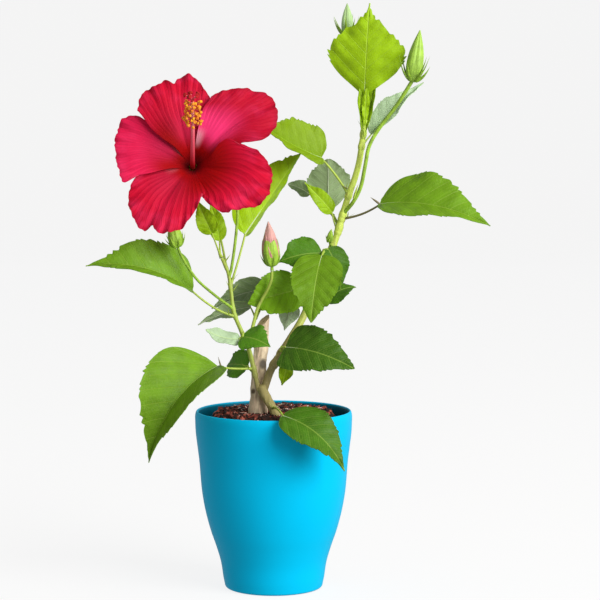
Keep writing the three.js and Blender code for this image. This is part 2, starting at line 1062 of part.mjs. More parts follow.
// The column that stands out of the throat, with its anthers and its five stigma pads.
function columnGeometry() {
  const curve = new THREE.CatmullRomCurve3([
    bloomPoint(2.0, 0),
    bloomPoint(20, 2, 1),
    bloomPoint(38, 10, 2.2),
    bloomPoint(52, 22, 3),
    bloomPoint(62, 35, 3),
  ]);
  const pieces = [skin(tubeRings(curve, 12, 8, (u) => 2.1 - 0.8 * u))];
  for (let i = 0; i < ANTHERS; i++) {
    const along = 0.62 + (0.35 * i) / (ANTHERS - 1);
    const turn = i * 2.4;
    const tangent = curve.getTangentAt(along);
    const across = new THREE.Vector3(1, 0, 0).cross(tangent).normalize();
    across.applyAxisAngle(tangent, turn);
    const root = curve.getPointAt(along);
    const head = root.clone().addScaledVector(across, 5.5);
    const filament = new THREE.LineCurve3(root, head);
    pieces.push(skin(tubeRings(filament, 1, 3, () => 0.5)));
    pieces.push(new THREE.OctahedronGeometry(1.7).translate(head.x, head.y, head.z));
  }
  const top = curve.getPointAt(1);
  const end = curve.getTangentAt(1);
  for (let i = 0; i < STIGMA_PADS; i++) {
    const turn = (2 * Math.PI * i) / STIGMA_PADS + 0.6;
    const across = new THREE.Vector3(1, 0, 0).applyAxisAngle(end, turn);
    const head = top.clone().addScaledVector(end, 5.5).addScaledVector(across, 6);
    const root = top.clone().addScaledVector(end, -1);
    pieces.push(skin(tubeRings(new THREE.LineCurve3(root, head), 1, 3, () => 0.6)));
    pieces.push(new THREE.OctahedronGeometry(2.1).translate(head.x, head.y, head.z));
  }
  return joined(pieces);
}

// The stalk of the bloom and the calyx that it widens into behind the petals.
function bloomStalkGeometry() {
  const bends = STALK.bends.map(vec);
  const start = stalkStart(STALK, bends[0], BLOOM_STALK_RADIUS);
  const curve = new THREE.CatmullRomCurve3([start, ...bends, bloomPoint(-15, 0)]);
  const { out } = bloomFrame();
  const stalk = tubeRings(curve, BLOOM_STALK_STEPS, BUD_SIDES, () => BLOOM_STALK_RADIUS);
  const rings = stalk.slice(0, -1);
  const first = rings.at(-1)[0].clone().sub(curve.getPointAt(1 - 1 / BLOOM_STALK_STEPS));
  first.addScaledVector(out, -first.dot(out)).normalize();
  const sideways = out.clone().cross(first);
  const calyx = [
    [-13.5, 2.2],
    [-12, 4.2],
    [-8, 6],
    [-2, 6.8],
    [4, 7.8],
    [9.6, 9.4],
    [9.6, 8.2],
    [5.3, 4.8],
    [1.5, 2],
  ];
  for (const [along, radius] of calyx)
    rings.push(
      Array.from({ length: BUD_SIDES }, (_, j) => {
        const turn = (2 * Math.PI * j) / BUD_SIDES;
        return bloomPoint(along, 0)
          .addScaledVector(first, radius * Math.cos(turn))
          .addScaledVector(sideways, radius * Math.sin(turn));
      }),
    );
  return skin(rings);
}

const group = new THREE.Group();

function place(name, geometry, colour, roughness = 0.6) {
  const material = new THREE.MeshStandardMaterial({ color: colour, roughness, metalness: 0 });
  const mesh = new THREE.Mesh(geometry, material);
  mesh.name = name;
  group.add(mesh);
}

place("pot", potGeometry(), COLOURS.pot, 0.25);
place("soil", soilGeometry(), COLOURS.soil, 0.95);
for (const [name, row] of Object.entries(LIMBS)) place(name, limbGeometry(row), row.colour);
for (const [name, row] of Object.entries(SINGLE_LEAVES)) place(name, leafGeometry(row), row.colour);
for (const [name, tuft] of Object.entries(TUFTS)) {
  const leaves = tuft.leaves.map((leaf) => leafGeometry({ root: tuft.spur.end, ...leaf }));
  place(name, joined([spurGeometry(tuft.spur), ...leaves]), tuft.colour);
}

for (const [name, row] of Object.entries(BUDS)) place(name, budGeometry(row), row.colour);
for (const [name, row] of Object.entries(BLOOM.petals))
  place(name, petalGeometry(row), COLOURS.petal, 0.7);
place("bloom_column", columnGeometry(), COLOURS.column);
place("bloom_stalk", bloomStalkGeometry(), COLOURS.bud);

export default group;
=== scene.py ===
"""A young hibiscus shrub in its plastic pot.

Lengths in the tables are millimetres in the frame's own axes: +Z up, -Y the plant's front, and
the origin under the middle of the pot. Meshes are written in metres.
"""

import math
from dataclasses import dataclass

import bpy
import numpy as np
from bpy.props import FloatProperty, FloatVectorProperty, IntProperty, PointerProperty
from bpy.types import Operator, Panel, PropertyGroup
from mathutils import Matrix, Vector


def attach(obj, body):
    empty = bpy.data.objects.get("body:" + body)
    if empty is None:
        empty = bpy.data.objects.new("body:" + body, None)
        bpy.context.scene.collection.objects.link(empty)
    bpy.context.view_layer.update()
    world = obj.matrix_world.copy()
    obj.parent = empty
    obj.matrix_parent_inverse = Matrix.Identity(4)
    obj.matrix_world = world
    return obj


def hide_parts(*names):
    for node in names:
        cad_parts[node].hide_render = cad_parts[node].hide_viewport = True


bl_info = {
    "name": "Potted Hibiscus",
    "version": (1, 0, 0),
    "blender": (4, 5, 0),
    "location": "3D View > Sidebar > Hibiscus",
    "description": "Builds a potted hibiscus with leaves, buds and one open bloom",
    "category": "Object",
}

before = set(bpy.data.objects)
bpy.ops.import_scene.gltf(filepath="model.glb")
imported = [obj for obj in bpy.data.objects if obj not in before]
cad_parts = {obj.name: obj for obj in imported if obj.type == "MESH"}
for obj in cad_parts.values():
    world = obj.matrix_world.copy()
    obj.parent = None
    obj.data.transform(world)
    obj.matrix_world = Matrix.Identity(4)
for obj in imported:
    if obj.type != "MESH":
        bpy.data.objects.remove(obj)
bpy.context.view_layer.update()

MM = 0.001
TAU = 2 * math.pi
UP = np.array([0.0, 0.0, 1.0])


def screen(red, green, blue):
    """A colour as a screen shows it, turned into linear light: ((c + 0.055) / 1.055) ^ 2.4."""
    return tuple(((c + 0.055) / 1.055) ** 2.4 if c > 0.04 else c / 12.92 for c in (red, green, blue))


# Limbs of the plant


@dataclass
class Limb:
    """A tapering limb: its axis from foot to tip, its radius at both ends, how much it flares at its
    foot, how far it swells at its top, and the sides and steps of its mesh."""

    path: tuple
    radius: tuple
    flare: float = 0.0
    swell: float = 0.0
    sides: int = 28
    steps: int = 90


LIMBS = {
    "trunk": Limb(
        ((-13, -16, 148.3), (-12.5, -16, 165), (-12, -16, 184), (-10, -15.5, 206), (-8, -15, 225)),
        (6.3, 5.5),
        flare=0.32,
        sides=96,
        steps=150,
    ),
    "young_stem": Limb(
        ((3, -28, 148.3), (-0.5, -27.7, 154), (-4.5, -27.3, 161), (-9.4, -27, 171)),
        (3.3, 3.5),
        flare=0.3,
        swell=1.1,
        sides=48,
        steps=60,
    ),
    "shoot_right": Limb(
        (
            (-6.9, -27, 171.3), (-2, -25.5, 185), (6, -20, 198), (14, -12, 210), (24, -4, 226),
            (33, 3, 247), (42, 7, 270), (49, 10, 284), (54, 11, 298), (56.8, 11, 308),
            (62.4, 10, 327), (67.7, 9, 342), (70.9, 8, 354), (73.1, 7, 368), (75.1, 5, 385),
            (75.6, 4, 400),
        ),
        (3.2, 2.4),
        steps=320,
    ),
    "shoot_left": Limb(
        (
            (-12.6, -27.6, 171.3), (-14.3, -28, 179), (-17, -28.5, 191), (-20, -29.5, 203),
            (-26, -30, 218), (-32, -29, 233), (-34.5, -27, 251), (-37, -25, 266),
            (-42, -22.5, 277),
        ),
        (2.1, 1.3),
        steps=180,
    ),
    "shoot_centre": Limb(
        (
            (-20, -27.3, 208), (-17.8, -25, 217), (-15.5, -22, 226), (-13, -18, 235),
            (-9, -15.5, 243), (-4.5, -16, 251), (-1.5, -16.7, 259), (-1, -17, 266),
        ),
        (1.5, 1.2),
        steps=120,
    ),
}
# Stains on the trunk: place, reach and colour on screen.
TRUNK_STAINS = (
    ((-8, -21.5, 190), 5.5, (0.36, 0.34, 0.32)),
    ((-16, -20, 167), 3.0, (0.33, 0.24, 0.15)),
)
# Lumps and hollows of the trunk: place, size and height.
TRUNK_LUMPS = (
    ((-6, -22, 184), 4.2, 1.3),
    ((-9, -22, 190), 1.6, -0.8),
    ((-9, -21.5, 157), 9, 0.5),
)
TRUNK_SLANT = (0.85, 0.5)  # rise of the trunk's cut face for each millimetre rightward and backward
CUT_FACE_RINGS = (0.93, 0.8, 0.65, 0.5, 0.35, 0.2, 0.06)  # shares of the radius over the cut face
FOOT_SUNK = 1.6  # how deep the trunk and the young stem start in the soil
SHOOT_SUNK = 2.4  # how deep a shoot starts in what bears it
STALK_INSIDE = 0.45  # share of a limb's radius at which its stalks start
NODE_SWELL = 0.24  # share by which a shoot swells at a node
NODE_REACH = 2.6  # how far that swelling reaches
SCAR_DEPTH = 0.1  # share by which the scar ring under a node is cut in
SCAR_REACH = 0.6
SCAR_DROP = 3.2  # how far the scar ring lies under its node
KNUCKLE_RISE = 2.6  # how far the young stem's rounded end rises
KNUCKLE_ROWS = 7


# Leaves


@dataclass
class Leaf:
    """A leaf: the blade's two ends, the way it faces and its width, the limb and the height at which
    its stalk leaves, the stalk's bend, the outline's two powers, the fold at the midrib in degrees,
    the arch of its middle, its kind, how far it is darker (to 2) or paler (to -2) than its kind,
    partly its own tone and partly painted shade and light for how much light it gets, how brown
    its stalk is, and how deep its teeth are."""

    base: tuple
    tip: tuple
    face: tuple
    width: float
    limb: str = ""
    at: object = "tip"
    bend: tuple = ()
    shape: tuple = (0.45, 1.0)
    fold: float = 12.0
    arch: float = 0.0
    colour: str = "mid"
    tint: float = 0.0
    stalk: float = 0.0
    teeth: float = 1.0


@dataclass
class Tuft:
    """Leaves that share a spur of a limb."""

    limb: str
    at: object
    end: tuple
    radius: float
    leaves: tuple


# A leaf's tint is partly its own tone and partly painted light and shade: leaves turned to the key light are
# darkened, and leaves in shadow are lightened.
LEAVES = {
    "leaf_left_low": Leaf(
        (-45, -45, 191), (-99, -78, 117), (-0.31, -0.75, 0.58), 76,
        "shoot_left", 187, (-33, -38, 187), (0.35, 1), 36, 19, tint=0.1,
    ),
    "leaf_left_high": Leaf(
        (-65, -43, 252), (-149, -66, 274), (0.15, -0.6, 0.78), 53,
        "shoot_left", 230, (-47, -36, 234), fold=30, arch=12,
    ),
    "leaf_behind_left": Leaf(
        (-21, -12, 187), (-39, 12, 185), (-0.6, -0.6, 0.5), 27,
        "shoot_left", 182, (-21, -20, 187), fold=6, arch=3, colour="dark", tint=-2,
    ),
    "leaf_pot": Leaf(
        (8, -60, 152.5), (58, -75, 110), (0.1, -0.6, 0.8), 40,
        "young_stem", 154, (3, -44, 158), fold=8, arch=12, colour="dark", tint=0.5,
    ),
    "leaf_right": Leaf(
        (88, -2, 321), (177, -30, 304), (0, -0.62, 0.79), 58,
        "shoot_right", 308, (74, 4, 310), fold=20, arch=10, tint=0.25, stalk=0.8,
    ),
    "leaf_up_left": Leaf(
        (40, -2, 359), (-8, -25, 386), (0.1, -0.75, 0.65), 46,
        "shoot_right", 327, (54, 4, 343), (0.32, 0.8), 33, -3, "bright", 2.0,
    ),
    "leaf_long": Leaf(
        (-23, -15, 296), (22, 8, 362), (0.6, -0.744, -0.173), 46,
        "shoot_left", 254, (-28, -18, 276), (0.4, 0.7), -42, 0, "bright", -0.5,
    ),
    "leaf_centre_right": Leaf(
        (42, 12, 239), (69, 20, 250), (0, -0.6, 0.8), 26,
        "shoot_right", 243, (38, 9, 240), fold=10, arch=4, colour="dark",
    ),
    "leaf_back_centre": Leaf(
        (41, 34, 270), (37, 92, 256), (0, 0.2, 0.98), 38,
        "shoot_right", 262, (41, 22, 268), fold=10, arch=7,
    ),
    "leaf_back_low": Leaf(
        (22, 12, 196), (34, 64, 188), (0, 0.25, 0.97), 34,
        "shoot_right", 190, (12, -4, 194), fold=10, arch=7, colour="dark",
    ),
    "leaf_back_mid": Leaf(
        (4, 26, 236), (-8, 78, 236), (0, 0.25, 0.97), 32,
        "shoot_right", 236, (19, 14, 237), fold=10, arch=7,
    ),
    "leaf_back_top": Leaf(
        (77, 25, 415), (81, 56, 460), (0.1, -0.78, 0.6), 27,
        "shoot_right", 378, (74, 16, 394), (0.9, 0.9), 14, -5, "bright",
    ),
    "leaf_back_left": Leaf(
        (-48, 6, 308), (-84, 42, 348), (0.1, 0.6, 0.8), 40,
        "shoot_left", 270, (-42, -8, 290), fold=10, arch=7,
    ),
    "leaf_narrow": Leaf(
        (49, 14, 313), (26, 8, 338), (-0.1, -0.85, 0.5), 15,
        "shoot_right", 297, (50, 13, 305), fold=8, arch=2, colour="bright", tint=0.7,
    ),
    "leaf_top": Leaf(
        (75, 2, 407), (79, -8, 485), (-0.1, -0.97, 0.1), 63,
        "shoot_right", "tip", (76, 3, 403), (1.6, 1.9), -9, 6, "bright", teeth=1.5,
    ),
    "leaf_top_back": Leaf(
        (81, 12, 378), (125, 22, 421), (-0.425, -0.79, 0.44), 24,
        "shoot_right", 368, (77, 11, 373), fold=38, arch=2, colour="pale", tint=-0.3,
    ),
}

TUFTS = {
    "foliage_left_mid": Tuft(
        "shoot_left", 214, (-24, -36, 216), 1.3,
        (
            Leaf(
                (-25, -39, 214), (-2, -50, 207), (0.1, -0.72, 0.69), 28,
                fold=4, arch=3, colour="dark", tint=-0.9,
            ),
            Leaf(
                (-27, -38, 212), (-54, -50, 221), (-0.1, -0.65, 0.75), 17,
                shape=(0.3, 0.5), fold=4, arch=-3, colour="pale",
            ),
        ),
    ),
    "foliage_back": Tuft(
        "shoot_centre", 214, (-15, 3, 225), 1.3,
        (
            Leaf(
                (-2, 12, 250), (-52, 12, 233), (-0.25, 0.72, 0.65), 29,
                fold=6, arch=5, colour="grey", tint=-2,
            ),
            Leaf(
                (-19, 9, 235), (-63, 2, 220), (-0.25, 0.72, 0.65), 18,
                fold=6, arch=3, colour="grey", tint=-2,
            ),
        ),
    ),
    "foliage_centre": Tuft(
        "shoot_right", 278, (42, -1, 282), 1.5,
        (
            Leaf(
                (40, -3, 280), (4, -10, 273), (0, -0.8, 0.6), 34,
                fold=6, arch=4, colour="dark", tint=-0.5,
            ),
            Leaf(
                (40, -12, 279), (31, -39, 226), (-0.12, -0.94, 0.32), 42,
                shape=(0.4, 0.75), fold=4, arch=9, tint=0.6,
            ),
            Leaf(
                (45, -1, 284), (56, 4, 249), (0.3, -0.85, 0.4), 25,
                shape=(0.3, 0.9), fold=0, arch=6, colour="dark",
            ),
        ),
    ),
    "foliage_centre_low": Tuft(
        "shoot_right", 243, (26, -4, 247), 1.4,
        (
            Leaf(
                (22, -2, 250), (-21, -12, 239), (-0.1, -0.94, 0.32), 40,
                shape=(0.4, 0.75), fold=16, arch=2, tint=-1.6,
            ),
            Leaf((15, 6, 236), (9, 16, 214), (0, 0.9, 0.4), 18, fold=6, arch=2, colour="pale", tint=0.4),
        ),
    ),
    "foliage_low_right": Tuft(
        "shoot_right", 199, (7, -27, 204), 1.4,
        (
            Leaf(
                (10, -32, 205), (66, -56, 190), (0.05, -0.85, 0.53), 44,
                shape=(0.14, 0.62), fold=5, arch=8, colour="dark", tint=1.6,
            ),
            Leaf((12, -26, 192), (7, -20, 172), (0.2, -0.9, 0.3), 12, fold=6, arch=2, colour="bright"),
        ),
    ),
    "foliage_left_tip": Tuft(
        "shoot_left", "tip", (-43.5, -21.8, 280), 1.2,
        (
            Leaf((-50, -19, 297), (-62, -24, 325), (-0.2, -0.9, 0.4), 17, arch=3, colour="bright"),
            Leaf(
                (-44, -14, 291), (-52, -8, 322), (0.2, -0.9, 0.4), 15,
                fold=10, arch=3, colour="bright",
            ),
        ),
    ),
    "foliage_upper_back": Tuft(
        "shoot_right", 301, (50, 20, 310), 1.3,
        (
            Leaf(
                (45, 24, 314), (46, 36, 357), (0.1, 0.97, -0.2), 37,
                shape=(0.75, 0.5), fold=6, arch=3, colour="grey",
            ),
            Leaf(
                (30, 27, 328), (12, 32, 336), (-0.1, 0.78, 0.62), 15,
                shape=(0.4, 0.5), fold=6, arch=2, colour="grey",
            ),
        ),
    ),
}

# Young leaves round the tip of the right shoot.
YOUNG = (
    Leaf(
        (76.5, 3, 381), (83.5, 0, 421), (-0.4, -0.88, 0.2), 8,
        "shoot_right", 372, (76, 3, 376), (0.8, 0.4), 20, 0, "bright", 1.0,
    ),
    Leaf(
        (73.3, 2, 381), (71.5, -1, 416), (0.35, -0.93, 0.1), 5.5,
        "shoot_right", 372, (73.8, 3, 376), (0.8, 0.4), 12, 0, "bright", 0.3,
    ),
    Leaf(
        (75, 0, 384), (76.8, -4, 416), (0, -0.98, 0.1), 6.5,
        "shoot_right", 374, (75, 1, 379), (0.8, 0.4), -14, 0, "bright", -0.4,
    ),
)
# Bracts that stand alone at nodes: start, tip, width, and how brown they are.
BRACTS = (
    ((66.3, 1, 325), (70.2, 0, 337), 4.0, 0.1),
    ((62.0, 6, 333), (56.0, 5, 336), 1.6, 0.9),
    ((78.0, 1, 361), (79.6, 0, 371), 1.8, 0.8),
    ((74.6, 1, 341), (76.0, 0, 348), 1.5, 0.8),
    ((88.2, -2, 320.4), (80.0, -2, 326.4), 4.0, 1.0),
    ((-41.5, -42, 187), (-44.6, -43, 198.5), 3.4, 0.9),
    ((-33.4, -27, 250), (-28.0, -29, 257), 2.0, 0.2),
    ((-35.2, -26, 252), (-38.4, -28, 259), 1.8, 0.2),
)

LEAF_SLOTS = {
    "mid": "leaf_mid",
    "dark": "leaf_dark",
    "bright": "leaf_bright",
    "grey": "leaf_grey",
    "pale": "leaf_grey",
}
TINT_SPREAD = 0.12  # how far tints stray from leaf to leaf
TIP_DRIP = 0.4  # share of its width that a leaf loses in its drawn-out tip
LEAF_WAVE = 1.5  # height of the slow wave in a leaf's margin
VEIN_LEAN = 0.9  # how far forward a side vein runs for each millimetre outwards
VEIN_CROWDING = 1.25  # how much closer side veins stand than evenly over the blade's length
BASAL_TURN = 25.0  # degrees between the main veins that fan out of a leaf's base
BLADE_COLUMNS = 23
RIB_DROP = 0.35  # how far the middle of the rib lies under the blade
WIDE_LEAF = 24  # width above which a leaf has the thicker stalk
WIDE_STALK = 1.0
NARROW_STALK = 0.75
STIPULED_LEAF = 20  # width above which a leaf has stipules at its stalk's root
STIPULE_LENGTH = 6.5
STIPULE_WIDTH = 1.6
LOOSE_BRACT_DEPTH = 0.7


# Buds and bloom


@dataclass
class Bud:
    """A bud: its stalk's root and bends, the bud's two ends and radius, the length of its bracts,
    its stalk's radius, and how far it is paler (to 1) than other buds."""

    limb: str
    at: object
    bends: tuple
    base: tuple
    tip: tuple
    radius: float
    bracts: float
    stalk: float = 1.1
    tint: float = 0.0


BUDS = {
    "bud_top_right": Bud(
        "shoot_right", 312,
        ((66, 3, 322), (72, 1, 334), (76, 0, 353), (79, 0, 368), (86, 0, 381), (101, -3, 401)),
        (114, -8, 421), (120, -12, 463), 6.8, bracts=25, stalk=1.6, tint=0.15,
    ),
    "bud_top_left": Bud(
        "shoot_right", 390, ((74, 8, 396), (72, 10, 415), (64, 12, 440)),
        (61, 12, 459), (61, 14, 486), 5, bracts=20, tint=0.65,
    ),
    "bud_pink": Bud(
        "shoot_centre", "tip", ((-1, -17.1, 268),), (-1, -17.2, 270), (-4, -20, 307), 7, bracts=14,
    ),
    "bud_left": Bud(
        "shoot_left", 236, ((-47, -40, 248), (-62, -52, 263), (-73, -58, 281)),
        (-76, -60, 288), (-81, -62, 310), 6, bracts=13,
    ),
    "bud_small": Bud(
        "shoot_right", 284, ((47, 4, 287),), (46, 1, 289), (48, -3, 300), 2.6, bracts=5, stalk=0.8,
    ),
}
# A bud's outline: the share of its length, and of its radius there.
BUD_SHAPE = ((0, 0.35), (0.1, 0.78), (0.28, 1), (0.48, 0.94), (0.68, 0.7), (0.86, 0.36), (1, 0.05))
BUD_SIDES = 60
BUD_ROWS = 48
BRACT_WIDTH = 4.2
BRACT_DEPTH = 0.6  # thickness of a bract as a share of its width
BRACT_STRAIGHT = 0.8  # share of a bract's length before its curl is added


@dataclass
class Petal:
    """A petal: its turn round the bloom's axis, the degrees that its waist spreads clockwise and
    counter-clockwise, its rim from the counter-clockwise corner, as degrees and reach, the half
    that takes its painted highlights, clockwise above 0 and the other below, by how strong they
    are, how bright its colour is, as painted light and shade for how much key light the petal
    gets, and how far that turns to rose."""

    turn: float
    reach: float
    waist: tuple
    rim: tuple
    flush: float = 0.0
    light: float = 1.0
    rose: float = 0.0


BLOOM_FOOT = (-64.8, -36, 350)
BLOOM_AXIS = (-0.02, -0.94, 0.342)
BLOOM_DEPTH = 30
BLOOM_MOUTH = 16  # radius in which the funnel climbs by 1 - 1 / e of its depth
REFLEX_START = 45  # radius from which the petals bend back
REFLEX_SPAN = 35
REFLEX_DROP = 7  # how far they are bent back a span further out
PETAL_ROWS = 120
PETAL_COLUMNS = 141
PETAL_TWIST = 3.0  # how far a petal's edges lie before and behind its middle, along the axis
PETAL_LAP = 3.5  # degrees by which petals lap over each other beside the throat
# A petal's light gives it a darker or lighter copy of the petal colour: painted shade and light for how much
# key light it gets.
PETALS = {
    "petal_top": Petal(
        107, 71, (32, 33),
        (
            (138, 58), (129, 66), (120, 68.5), (114, 68), (108, 70), (103.5, 66), (99, 70.5),
            (92, 72), (85, 66), (79, 58), (74, 54),
        ),
        flush=0.3,
        light=0.94,
    ),
    "petal_upper_right": Petal(
        41, 83, (20, 33),
        (
            (73, 54), (64, 64), (56, 71), (47, 80), (41, 83), (35, 82.5), (29, 79), (21, 71),
            (17, 63), (17, 54), (21, 45),
        ),
        flush=-1.0,
        light=0.82,
    ),
    "petal_lower_right": Petal(
        -19, 69, (50, 45),
        (
            (16, 42), (10, 48.5), (4, 55), (-2, 61), (-10, 66), (-21, 69), (-28, 69), (-36, 67),
            (-42, 61), (-49, 57), (-58, 53), (-64, 46), (-69, 38), (-73, 31),
        ),
    ),
    "petal_lower_left": Petal(
        -123, 69, (40, 54),
        (
            (-71, 31), (-76, 36), (-83, 44), (-90, 52), (-97, 60), (-106, 65), (-114, 66),
            (-117.5, 63), (-121, 69.5), (-131, 67), (-140, 62.5), (-149, 57), (-157, 50),
            (-164, 42),
        ),
        flush=0.2,
    ),
    "petal_left": Petal(
        163, 62, (28, 36),
        (
            (200, 48), (202, 56.5), (194, 57.5), (180, 59.5), (168, 62), (158, 64), (150, 65),
            (144, 62.5), (140, 56), (139, 50),
        ),
        flush=0.35,
        light=1.1,
        rose=0.6,
    ),
}
STALK_ROOT = (-34.6, -25.4, 266.6)
STALK_BENDS = (
    (-33.9, -25.3, 270), (-31.8, -24, 284), (-30, -22, 300), (-29, -21, 315), (-32, -19, 330),
    (-44, -18, 343),
)
STALK_RADIUS = 1.2
STALK_JOINT = 0.76  # share of the stalk's length at which its joint swells
# The column's axis: places along, up across and right across the bloom's axis.
COLUMN = ((2, 0, 0), (20, 2, 1), (38, 10, 2.2), (52, 22, 3), (62, 35, 3))
COLUMN_RADIUS = (2.2, 1.2)
COLUMN_SIDES = 20
ANTHER_SPAN = (0.72, 0.99)  # shares of the column between which anthers stand
ANTHER_TURN = 2.4  # radians from anther to anther
THREAD_RADIUS = 0.22
PAD_COUNT = 5
PAD_ROWS = 14
PAD_SIDES = 20
CALYX_SIDES = 80
# The calyx: place along the bloom's axis and radius, up its outside and down its inside.
CALYX_OUTSIDE = ((-14.5, 1.5), (-13, 3.4), (-11, 5.2), (-8, 6.3), (-2, 7.0), (3, 7.8), (6, 8.6))
CALYX_INSIDE = ((5.4, 8.1), (2, 7.0), (-2, 6.2), (-6, 5.0))
LOBE_LENGTH = 7.5
LOBE_SPREAD = 1.8


# Pot and soil

# The pot's outer side from its foot to its lip: radius and height.
POT_SIDE = (
    (42.2, 8), (44.4, 22), (48.2, 35), (52.5, 47.5), (57.0, 64.5), (60.0, 82), (62.0, 106),
    (63.2, 116), (65.0, 131), (65.5, 143),
)
POT_WALL = 3.4
POT_FLOOR = 4.0
FOOT_RADIUS = 41.0
FOOT_FILLET = 2.5
LIP_RISE = 6.0
SOIL_TOP = 148.0
SOIL_PLATEAU = 36.0  # radius of the level soil round the stems
SOIL_EDGE = 137.0  # height of the soil against the wall
SOIL_BANK = 11  # width of the steep bank along the wall
SOIL_DIP = 4.5  # how far the soil has fallen where the bank starts
SOIL_GAP = 0.3  # gap between soil and wall
CHIP_REACH = 49.0
CHIP_SHAPE = (1, 0.6, 0.35)  # length, width and thickness of a chip
CHIP_ROOM = 1.2  # gap kept between chips and a stem's foot
CHIP_CEILING = 2.0  # how far above the soil a chip may reach
# Chips: share of all, the colours between which they range, and their size.
CHIP_KINDS = {
    "dark": (0.56, screen(0.13, 0.07, 0.05), screen(0.25, 0.13, 0.10), 1.0),
    "red": (0.3, screen(0.44, 0.17, 0.12), screen(0.64, 0.33, 0.26), 1.1),
    "pale": (0.14, screen(0.80, 0.60, 0.54), screen(0.96, 0.88, 0.84), 0.7),
}
POT_INSIDE_PAINTED_SHADE = 0.22  # painted shade inside the pot: its brightness there, as a share of its colour's
POT_PAINTED_SHADE_STEP = (0.65, 0.668)  # where the pot's pattern map turns down from the lip's top and the painted shade begins


# Stage, in metres

CAMERA_PLACE = (0.022, -1.8, 0.392)
CAMERA_PITCH = 4.8  # degrees below level
SENSOR_WIDTH = 36  # millimetres
# Lamps: size, place, what they aim at, and colour.
KEY_LAMP = (2.0, (1.9, -1.6, 1.3), (0.02, 0, 0.25), (1.0, 0.985, 0.96))
FILL_LAMP = (1.2, (-1.5, -1.5, 0.8), (0, 0, 0.25), (0.95, 0.98, 1.0))
STUDIO_FLOOR = (0, 0.5, 1.0, 2.0, 3.0, 4.0)  # radii of the flat floor's rings
STUDIO_BEND = 1.5  # radius of the bend between floor and wall
STUDIO_ARC = (math.degrees(0.05) - 90, 0)  # degrees between which the bend runs
STUDIO_WALL = (3.0, 5.0)  # heights of the wall's rings
STUDIO_SIDES = 96
STUDIO_DROP = 0.0002  # how far the floor lies under the pot


# Settings that a user would change


class PotSettings(PropertyGroup):
    """The pot's finish."""

    colour: FloatVectorProperty(
        name="Colour", description="Colour of the plastic", subtype="COLOR", size=3,
        min=0, max=1, default=screen(0.0, 0.76, 0.95),
    )
    gloss: FloatProperty(
        name="Roughness", description="Roughness of the satin plastic", subtype="FACTOR",
        min=0, max=1, default=0.36,
    )
    sides: IntProperty(name="Sides", description="Facets round the pot", min=24, default=160)


class SoilSettings(PropertyGroup):
    """The potting soil and the chips that lie on it."""

    colour: FloatVectorProperty(
        name="Colour", description="Colour of the fine soil", subtype="COLOR", size=3,
        min=0, max=1, default=screen(0.19, 0.10, 0.07),
    )
    chips: IntProperty(name="Chips", description="Chips on the surface", min=0, default=4600)
    chip_size: FloatProperty(
        name="Chip Size", description="Middle length of a chip", unit="LENGTH", default=0.0024,
    )
    relief: FloatProperty(
        name="Relief", description="Height of the soil's unevenness", unit="LENGTH", default=0.0012,
    )


class BarkSettings(PropertyGroup):
    """Trunk, stems and stalks."""

    trunk: FloatVectorProperty(
        name="Old Bark", description="Colour of the trunk", subtype="COLOR", size=3,
        min=0, max=1, default=screen(0.98, 0.86, 0.73),
    )
    stem: FloatVectorProperty(
        name="Young Bark", description="Colour of the young stem", subtype="COLOR", size=3,
        min=0, max=1, default=screen(0.66, 0.61, 0.38),
    )
    green: FloatVectorProperty(
        name="Green Stem", description="Colour of the left shoots and stalks", subtype="COLOR", size=3,
        min=0, max=1, default=screen(0.65, 0.74, 0.28),
    )
    lime: FloatVectorProperty(
        name="Pale Stem", description="Colour of the tall right shoot", subtype="COLOR", size=3,
        min=0, max=1, default=screen(0.88, 0.96, 0.42),
    )
    relief: FloatProperty(
        name="Relief", description="Depth of the bark's furrows", unit="LENGTH", default=0.0004,
    )


class LeafSettings(PropertyGroup):
    """Blades, veins and teeth of the leaves."""

    mid: FloatVectorProperty(
        name="Mid", description="Colour of full-grown leaves", subtype="COLOR", size=3,
        min=0, max=1, default=screen(0.42, 0.60, 0.06),
    )
    dark: FloatVectorProperty(
        name="Dark", description="Colour of the dark leaves", subtype="COLOR", size=3,
        min=0, max=1, default=screen(0.25, 0.45, 0.04),
    )
    bright: FloatVectorProperty(
        name="Bright", description="Colour of young sunlit leaves", subtype="COLOR", size=3,
        min=0, max=1, default=screen(0.60, 0.76, 0.0),
    )
    grey: FloatVectorProperty(
        name="Grey", description="Colour of the greyish leaves", subtype="COLOR", size=3,
        min=0, max=1, default=screen(0.50, 0.61, 0.36),
    )
    pale: FloatVectorProperty(
        name="Pale", description="Colour of silvery leaves", subtype="COLOR", size=3,
        min=0, max=1, default=screen(0.71, 0.81, 0.66),
    )
    thickness: FloatProperty(
        name="Thickness", description="Thickness of a blade", unit="LENGTH", default=0.00045,
    )
    relief: FloatProperty(
        name="Relief", description="Height of the blade between its veins", unit="LENGTH",
        default=0.0007,
    )
    veins: IntProperty(name="Veins", description="Side veins on each half", min=2, default=5)
    tooth: FloatProperty(
        name="Tooth", description="Depth of a tooth of the largest leaves", unit="LENGTH",
        default=0.0026,
    )
    pitch: FloatProperty(
        name="Pitch", description="Distance between teeth", unit="LENGTH", default=0.0066,
    )
    row: FloatProperty(name="Row", description="Length of a row of faces", unit="LENGTH", default=0.0007)


class BudSettings(PropertyGroup):
    """Closed buds."""

    green: FloatVectorProperty(
        name="Green", description="Colour of calyx and bracts", subtype="COLOR", size=3,
        min=0, max=1, default=screen(0.63, 0.79, 0.24),
    )
    pink: FloatVectorProperty(
        name="Pink", description="Colour of the furled petals", subtype="COLOR", size=3,
        min=0, max=1, default=screen(0.84, 0.58, 0.57),
    )
    bracts: IntProperty(name="Bracts", description="Bracts under each bud", min=0, default=7)


